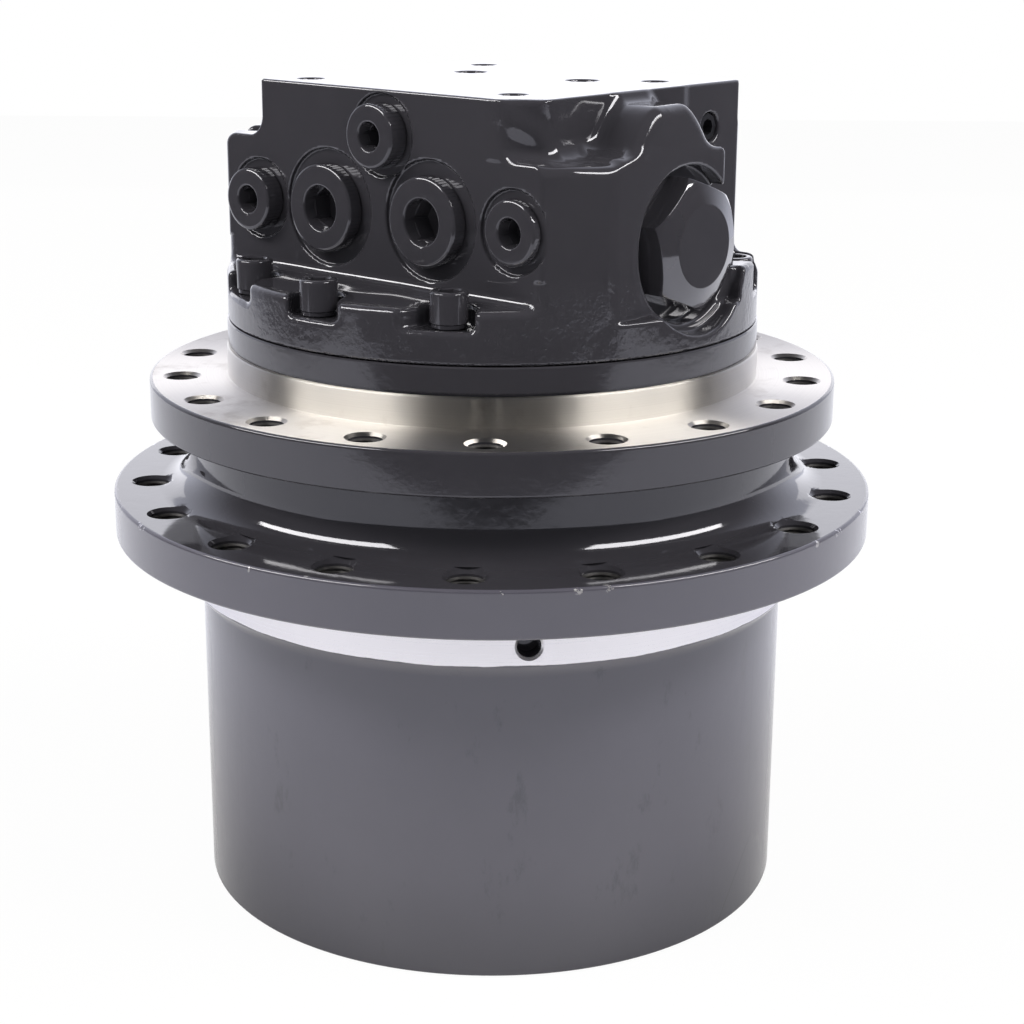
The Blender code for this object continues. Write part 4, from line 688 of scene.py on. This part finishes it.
def skin(name, field, low, high, cell):
    """A closed mesh where a field is 0: one corner in each cell that the skin crosses."""
    axes = [np.arange(a, b + cell, cell, dtype=np.float32) for a, b in zip(low, high)]
    values = field(axes[0][:, None, None], axes[1][None, :, None], axes[2][None, None, :]).astype(np.float32)
    within = values < 0
    shape = [count - 1 for count in values.shape]
    total = np.zeros((*shape, 3), np.float32)
    hits = np.zeros(shape, np.float32)
    crossings = []
    for axis in range(3):
        first = [slice(None)] * 3
        last = [slice(None)] * 3
        first[axis], last[axis] = slice(None, -1), slice(1, None)
        first, last = tuple(first), tuple(last)
        crossed = within[first] != within[last]
        at = np.argwhere(crossed)
        start, end = values[first][crossed], values[last][crossed]
        place_at = at.astype(np.float32)
        place_at[:, axis] += start / (start - end)
        crossings.append((axis, at, within[first][crossed]))
        others = [k for k in range(3) if k != axis]
        for da in (0, -1):
            for db in (0, -1):
                cell_at = at.copy()
                cell_at[:, others[0]] += da
                cell_at[:, others[1]] += db
                fits = ((cell_at >= 0) & (cell_at < shape)).all(axis=1)
                index = tuple(cell_at[fits].T)
                np.add.at(total, index, place_at[fits])
                np.add.at(hits, index, 1)
    used = hits > 0
    number = np.full(shape, -1, np.int64)
    number[used] = np.arange(used.sum())
    points = total[used] / hits[used][:, None] * cell + np.array(low, np.float32)
    points = points.astype(np.float64)
    for step in range(4):
        points -= field(*points.T)[:, None] * slope(field, points) * 0.9
    faces = []
    for axis, at, inner in crossings:
        a, b = [k for k in range(3) if k != axis]
        corners = []
        for da, db in ((-1, -1), (0, -1), (0, 0), (-1, 0)):
            cell_at = at.copy()
            cell_at[:, a] += da
            cell_at[:, b] += db
            corners.append(number[tuple(cell_at.T)])
        quads = np.stack(corners, axis=1)
        flip = inner if axis == 1 else ~inner
        quads[flip] = quads[flip][:, ::-1]
        faces.append(quads)
    faces = np.concatenate(faces)
    mesh = bpy.data.meshes.new(name)
    mesh.from_pydata(points * MM, [], faces)
    mesh.shade_smooth()
    mesh.normals_split_custom_set_from_vertices(slope(field, points, 0.45))
    made = bpy.data.objects.new(name, mesh)
    bpy.context.scene.collection.objects.link(made)
    return made


housing_low = (-106.5, -106.5, 228.2)
housing_high = (106.5, 106.5, 324.0)
housing = skin("motor_housing_casting", housing_field, housing_low, housing_high, CELL)

gloss_enamel, place = surface("gloss_enamel", coat=0.5, tint=ENAMEL_TINT)
x, y, z, radius = parts_of(place)
cloud = place.noise(22, 4, 0.6)
round_wall = radius.rise(0.0985, 0.1015) * (1 - z.rise(0.2545, 0.2600))
cast_corner = (x - y).rise(0.1180, 0.1240) * z.rise(0.2990, 0.3010)
cast = round_wall.at_least(cast_corner)
foot = x.rise(0.0925, 0.0940) * (1 - z.rise(0.2600, 0.2680)) * (1 - y.rise(-0.030, -0.024))
hump = x.inside(0.0770, 0.0938, 0.0008) * z.rise(0.3020, 0.3050)
cast = cast.at_least(foot).at_least(hump)
grain = place.noise(420, 3, 0.6) * place.noise(24, 3).rise(0.42, 0.55) * cast
cast_lumps = place.noise(75, 4, 0.6, (1, 1, 0.7)) * (0.03 + cast * 0.25) + grain * 0.26
pits = place.noise(900, 3, 0.6).rise(0.62, 0.70) * round_wall * 0.04
colour = place.towards(ENAMEL_DARK, ENAMEL_LIGHT, cloud)
peel = place.noise(170, 2) * 0.02 + place.noise(420, 2) * 0.008
lay_on(gloss_enamel, place, colour, 0.05 + cloud * 0.04, peel + cast_lumps - pits)
housing.data.materials.append(gloss_enamel)
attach(housing, "spindle_and_motor_housing")
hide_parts("motor_housing")

# Cap screws: socket head screws of quenched steel, tightened in their pockets and sprayed over with
# the housing.


def hexagon_prism(across_flats, low, high, turn=0.0):
    """A hexagon bar standing on Z, in mm."""
    corner_r = across_flats / 3 ** 0.5
    return lathe([(0, low), (corner_r, low), (corner_r, high), (0, high)], 6, radians(turn))


sprayed_screw, place = surface("sprayed_screw", coat=0.5, tint=ENAMEL_TINT)
cloud = place.noise(90, 4, 0.6)
colour = place.towards(ENAMEL_DARK, ENAMEL_LIGHT, cloud)
peel = place.noise(170, 2) * 0.015 + place.noise(600, 2) * 0.008
lay_on(sprayed_screw, place, colour, 0.05 + cloud * 0.04, peel)
SCREW_HEAD = 13.4
screw_outline = [(0, -30), (4.4, -30), (5, -29.4), (5, 0.3), (6.2, 0.3), (6.4, 0.5), (6.4, 1.8), (6.2, 2.0)]
screw_outline += [(6.7, 2.0), (6.9, 2.2), (7.0, 12.2), *arc((5.9, 12.3), 1.1, 10, 90, 4), (0, SCREW_HEAD)]
screw = piece("screw_pattern", lathe(screw_outline, 48))
cut(screw, hexagon_prism(8, 6.7, 14))
cut(screw, lathe([(0, 12.8), (4.3, 12.8), (5.2, 13.7), (0, 13.7)], 48))
for number, turn in enumerate(SCREW_TURNS, 1):
    made = bpy.data.objects.new(f"cap_screw_{number}", screw.data.copy())
    tightened = Matrix.Rotation(number * 1.7, 4, "Z")
    made.data.transform(at_turn(SCREW_PCR, turn, POCKET_FLOOR) @ tightened)
    made.data.materials.clear()
    made.data.materials.append(sprayed_screw)
    bpy.context.scene.collection.objects.link(made)
    even(made)
    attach(made, "spindle_and_motor_housing")
    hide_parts(f"housing_screw_{number}")
bpy.data.objects.remove(screw)

# Socket plugs of the plug face: turned steel with a knurled rim and a hexagon socket, screwed in on a
# seal and sprayed over.
for number, (name, (px, pz, head, spot, rise_of, key, shank)) in enumerate(PLUGS.items(), 1):
    top = rise_of + SPOT_DEPTH
    outline = [(0, -12), (shank - 0.6, -12), (shank, -11.4), (shank, 0.35), (head - 0.5, 0.35), (head, 0.8)]
    outline += [(head, top - 1.0), (head - 0.35, top - 0.45), (head - 1.0, top - 0.15)]
    outline += [(head - 1.6, top), (0, top)]
    plug = piece(f"socket_plug_{number}", lathe(outline, 72))
    cut(plug, hexagon_prism(key, -6, top + 2, 15 + number * 11))
    mouth = key / 3 ** 0.5 + 0.2
    lip = arc((mouth + 1.0, top - 1.0), 1.0, 180, 90, 4)
    cut(plug, lathe([(0, top - 5), (mouth - 0.6, top - 5), *lip, (mouth + 1.0, top + 1), (0, top + 1)], 48))
    notch = lathe([(0, -1), (0.38, -1), (0.38, top - 0.7), (0, top - 0.3)], 4, radians(45))
    cut(plug, repeated(notch, ring_of(int(head * 4), head + 0.12, 0)))
    seat = Matrix.Translation((px * MM, (SPOT_DEPTH - PLUG_FACE) * MM, pz * MM))
    plug.data.transform(seat @ Matrix.Rotation(radians(90), 4, "X"))
    plug.data.materials.append(sprayed_screw)
    even(plug)
    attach(plug, "spindle_and_motor_housing")
    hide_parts(name)

# Hexagon caps over the ends of the valve's bore: steel bar, turned to a flat cone on the face, screwed
# in and sprayed with the thickest coat.
CAP_AF = 43.6
CAP_TURN = 10
cap_enamel, place = surface("cap_enamel", coat=1.0, specular=0.9, tint=ENAMEL_TINT)
cloud = place.noise(60, 4, 0.6)
colour = place.towards(ENAMEL_DARK, ENAMEL_LIGHT, cloud)
peel = place.noise(90, 2) * 0.05 + place.noise(400, 2) * 0.008
lay_on(cap_enamel, place, colour, 0.05 + cloud * 0.04, peel)
cap_r = CAP_AF / 3 ** 0.5
cap = piece("cap_pattern", hexagon_prism(CAP_AF, 0.3, 13.7, CAP_TURN))
dome = [(15.0, 13.7), (15.5, 13.6), (22.5, 10.95), (23.5, 10.4), (24.3, 9.8), (cap_r + 0.6, 8.4)]
cut(cap, lathe([(15.0, 15), *dome, (cap_r + 3, 8.4), (cap_r + 3, 15)], 96))
bevel = cap.modifiers.new("bevel", "BEVEL")
bevel.width = 1.5 * MM
bevel.segments = 4
bevel.limit_method = "ANGLE"
bevel.angle_limit = radians(12)
settle(cap, 30)
shank_outline = [(0, -14), (15.8, -14), (16.5, -13.3), (16.5, -1.2), (15.4, -0.6), (15.4, 1.0), (0, 1.0)]
for side, along in (("right", 1), ("left", -1)):
    seat = Matrix.Translation((along * VALVE_SEAT * MM, 0, VALVE_Z * MM))
    bm = lathe(shank_outline, 64)
    bm.from_mesh(cap.data)
    bmesh.ops.transform(bm, matrix=seat @ Matrix.Rotation(radians(90 * along), 4, "Y"), verts=bm.verts)
    made = piece(f"hexagon_cap_{side}", bm, cap_enamel, 30)
    even(made)
    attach(made, "spindle_and_motor_housing")
    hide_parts(f"valve_cap_{side}")
bpy.data.objects.remove(cap)

# Parts inside the drive, which keep their solids: ground gears and races, turned carriers, bronze
# cages and rubber rings, and the black cover and plugs on the underside.


def metal(name, dark, light, rough, lines, specular=0.5, metallic=1.0):
    """A plain finish of two colours, with fine marks of its machining in it."""
    made, place = surface(name, metallic=metallic, specular=specular)
    cloud = place.noise(40, 5, 0.6)
    fine = place.noise(lines, 3, 0.7, (1, 1, 0.2))
    colour = place.towards((*dark, 1), (*light, 1), cloud * 0.6 + fine * 0.4)
    lay_on(made, place, colour, rough + cloud * 0.12 + fine * 0.08, fine * 0.03)
    return made


ground_steel = metal("ground_steel", (0.30, 0.30, 0.31), (0.52, 0.51, 0.50), 0.20, 1500)
turned_steel = metal("turned_steel", (0.38, 0.36, 0.33), (0.60, 0.58, 0.54), 0.26, 1100)
cast_bronze = metal("cast_bronze", (0.42, 0.24, 0.10), (0.64, 0.42, 0.20), 0.28, 900)
seal_rubber = metal("seal_rubber", (0.012, 0.012, 0.012), (0.03, 0.03, 0.03), 0.55, 700, 0.4, 0.0)
black_cover = metal("black_cover", (0.010, 0.010, 0.012), (0.030, 0.029, 0.032), 0.22, 500, 0.4, 0.0)
blacked_steel = metal("blacked_steel", (0.020, 0.020, 0.024), (0.07, 0.07, 0.08), 0.22, 900, 0.5, 0.7)
looks = {
    "cover_plug": blacked_steel,
    "end_cover": black_cover,
    "carrier_screw": blacked_steel,
    "gauge_plug": blacked_steel,
    "carrier": turned_steel,
    "cylinder": turned_steel,
    "ball_cage": cast_bronze,
    "valve_plate": cast_bronze,
    "seal_toric": seal_rubber,
}
for name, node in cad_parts.items():
    look = next((looks[key] for key in looks if name.startswith(key)), ground_steel)
    for slot_of in node.material_slots:
        slot_of.material = look

# Studio: a white table with its front edge just before the drive, a room that is dark on the camera's
# side, soft boxes before it at both sides and behind it, and the camera.
CAMERA_PLACE = (0.5433, -0.6140, 0.3892)
CAMERA_TURN = radians(40.935)
CAMERA_TILT = radians(73.528)
CAMERA_ROLL = radians(0.342)
TO_CAMERA = (0.655, -0.755, 0.0)
COOL_WHITE = (0.85, 0.87, 1.0, 1)
WARM_WHITE = (1.0, 0.975, 0.95)
TABLE_FRONT = 730
TABLE_BACK = 3000
TABLE_HALF = 1150


def rays(tree):
    """Where the camera sees a thing straight or through glass, and where gloss or metal mirrors it."""
    paths = tree.nodes.new("ShaderNodeLightPath")
    direct = Wire(tree, paths.outputs["Is Camera Ray"])
    through = Wire(tree, paths.outputs["Is Transmission Ray"])
    return direct.at_least(through), Wire(tree, paths.outputs["Is Glossy Ray"])


floor_look, place = surface("studio_floor")
tree = floor_look.node_tree
direct, mirrored = rays(tree)
plain = place.node("BsdfDiffuse", Color=(0.9, 0.9, 0.9, 1), Roughness=1.0)
glow = place.node("Emission", Color=place.towards((1, 1, 1, 1), COOL_WHITE, mirrored), Strength=1.0)
# Painted shadow: gloss and metal mirror the table's glow faded out near the drum, so the table they show is
# darker around it.
clear_of_painted_shadow = parts_of(place)[3].rise(0.14, 0.36)
share = (direct * 0.95).at_least(mirrored * (0.05 + clear_of_painted_shadow * 0.55))
mixed = place.node("MixShader", _0=share, _1=plain, _2=glow)
tree.links.new(mixed.socket, tree.nodes["Material Output"].inputs["Surface"])
table = bmesh.new()
for low in (-0.4, -8.0):
    for across, away in ((-1, -TABLE_FRONT), (1, -TABLE_FRONT), (1, TABLE_BACK), (-1, TABLE_BACK)):
        table.verts.new((across * TABLE_HALF * MM, away * MM, low * MM))
table.verts.ensure_lookup_table()
for corners in ((0, 1, 2, 3), (7, 6, 5, 4), (0, 4, 5, 1), (1, 5, 6, 2), (2, 6, 7, 3), (3, 7, 4, 0)):
    table.faces.new([table.verts[k] for k in corners])
bmesh.ops.transform(table, matrix=Matrix.Rotation(CAMERA_TURN, 4, "Z"), verts=table.verts)
floor = piece("studio_table", table, floor_look)

world = bpy.data.worlds.new("studio_room")
world.use_nodes = True
bpy.context.scene.world = world
tree = world.node_tree
direct, mirrored = rays(tree)
look_at = Wire(tree, tree.nodes.new("ShaderNodeTexCoord").outputs["Generated"])
towards_front = look_at.node("VectorMath", {"operation": "DOT_PRODUCT"}, output=1, _0=look_at, _1=TO_CAMERA)
room = 1 - towards_front.rise(-0.85, -0.15) * 0.95
strength = direct.at_least(mirrored * room) + (1 - direct.at_least(mirrored)) * 0.45
background = tree.nodes["Background"]
tree.links.new(look_at.towards((1, 1, 1, 1), COOL_WHITE, mirrored).socket, background.inputs["Color"])
tree.links.new(strength.socket, background.inputs["Strength"])

to_right = Vector((cos(CAMERA_TURN), sin(CAMERA_TURN), 0))
to_back = Vector((-sin(CAMERA_TURN), cos(CAMERA_TURN), 0))


def soft_box(name, place, aim, width, height, power):
    """An area lamp: its place and its aim are metres to the right, to the back and up."""
    lamp = bpy.data.lights.new(name, "AREA")
    lamp.shape = "RECTANGLE"
    lamp.size = width
    lamp.size_y = height
    lamp.energy = power
    lamp.color = WARM_WHITE
    made = bpy.data.objects.new(name, lamp)
    place, aim = (to_right * right + to_back * back + Vector((0, 0, up)) for right, back, up in (place, aim))
    made.location = place
    made.rotation_euler = (aim - made.location).to_track_quat("-Z", "Y").to_euler()
    bpy.context.scene.collection.objects.link(made)


for name, side in (("box_left", -1), ("box_right", 1)):
    soft_box(name, (side * 1.10, -0.25, 1.07), (side * 0.52, 0.44, 0.17), 1.33, 0.26, 15)
soft_box("box_back", (0, 2.0, 0.50), (0, 0, 0.2), 2.8, 0.8, 5)

lens = bpy.data.cameras.new("camera")
lens.lens = 73.575
lens.sensor_width = 36
lens.clip_start = 0.05
lens.clip_end = 30
camera = bpy.data.objects.new("camera", lens)
turned = Matrix.Rotation(CAMERA_TURN, 4, "Z") @ Matrix.Rotation(CAMERA_TILT, 4, "X")
turned = turned @ Matrix.Rotation(CAMERA_ROLL, 4, "Z")
camera.matrix_world = Matrix.Translation(CAMERA_PLACE) @ turned
bpy.context.scene.collection.objects.link(camera)
bpy.context.scene.camera = camera
bpy.context.scene.view_settings.view_transform = "Standard"
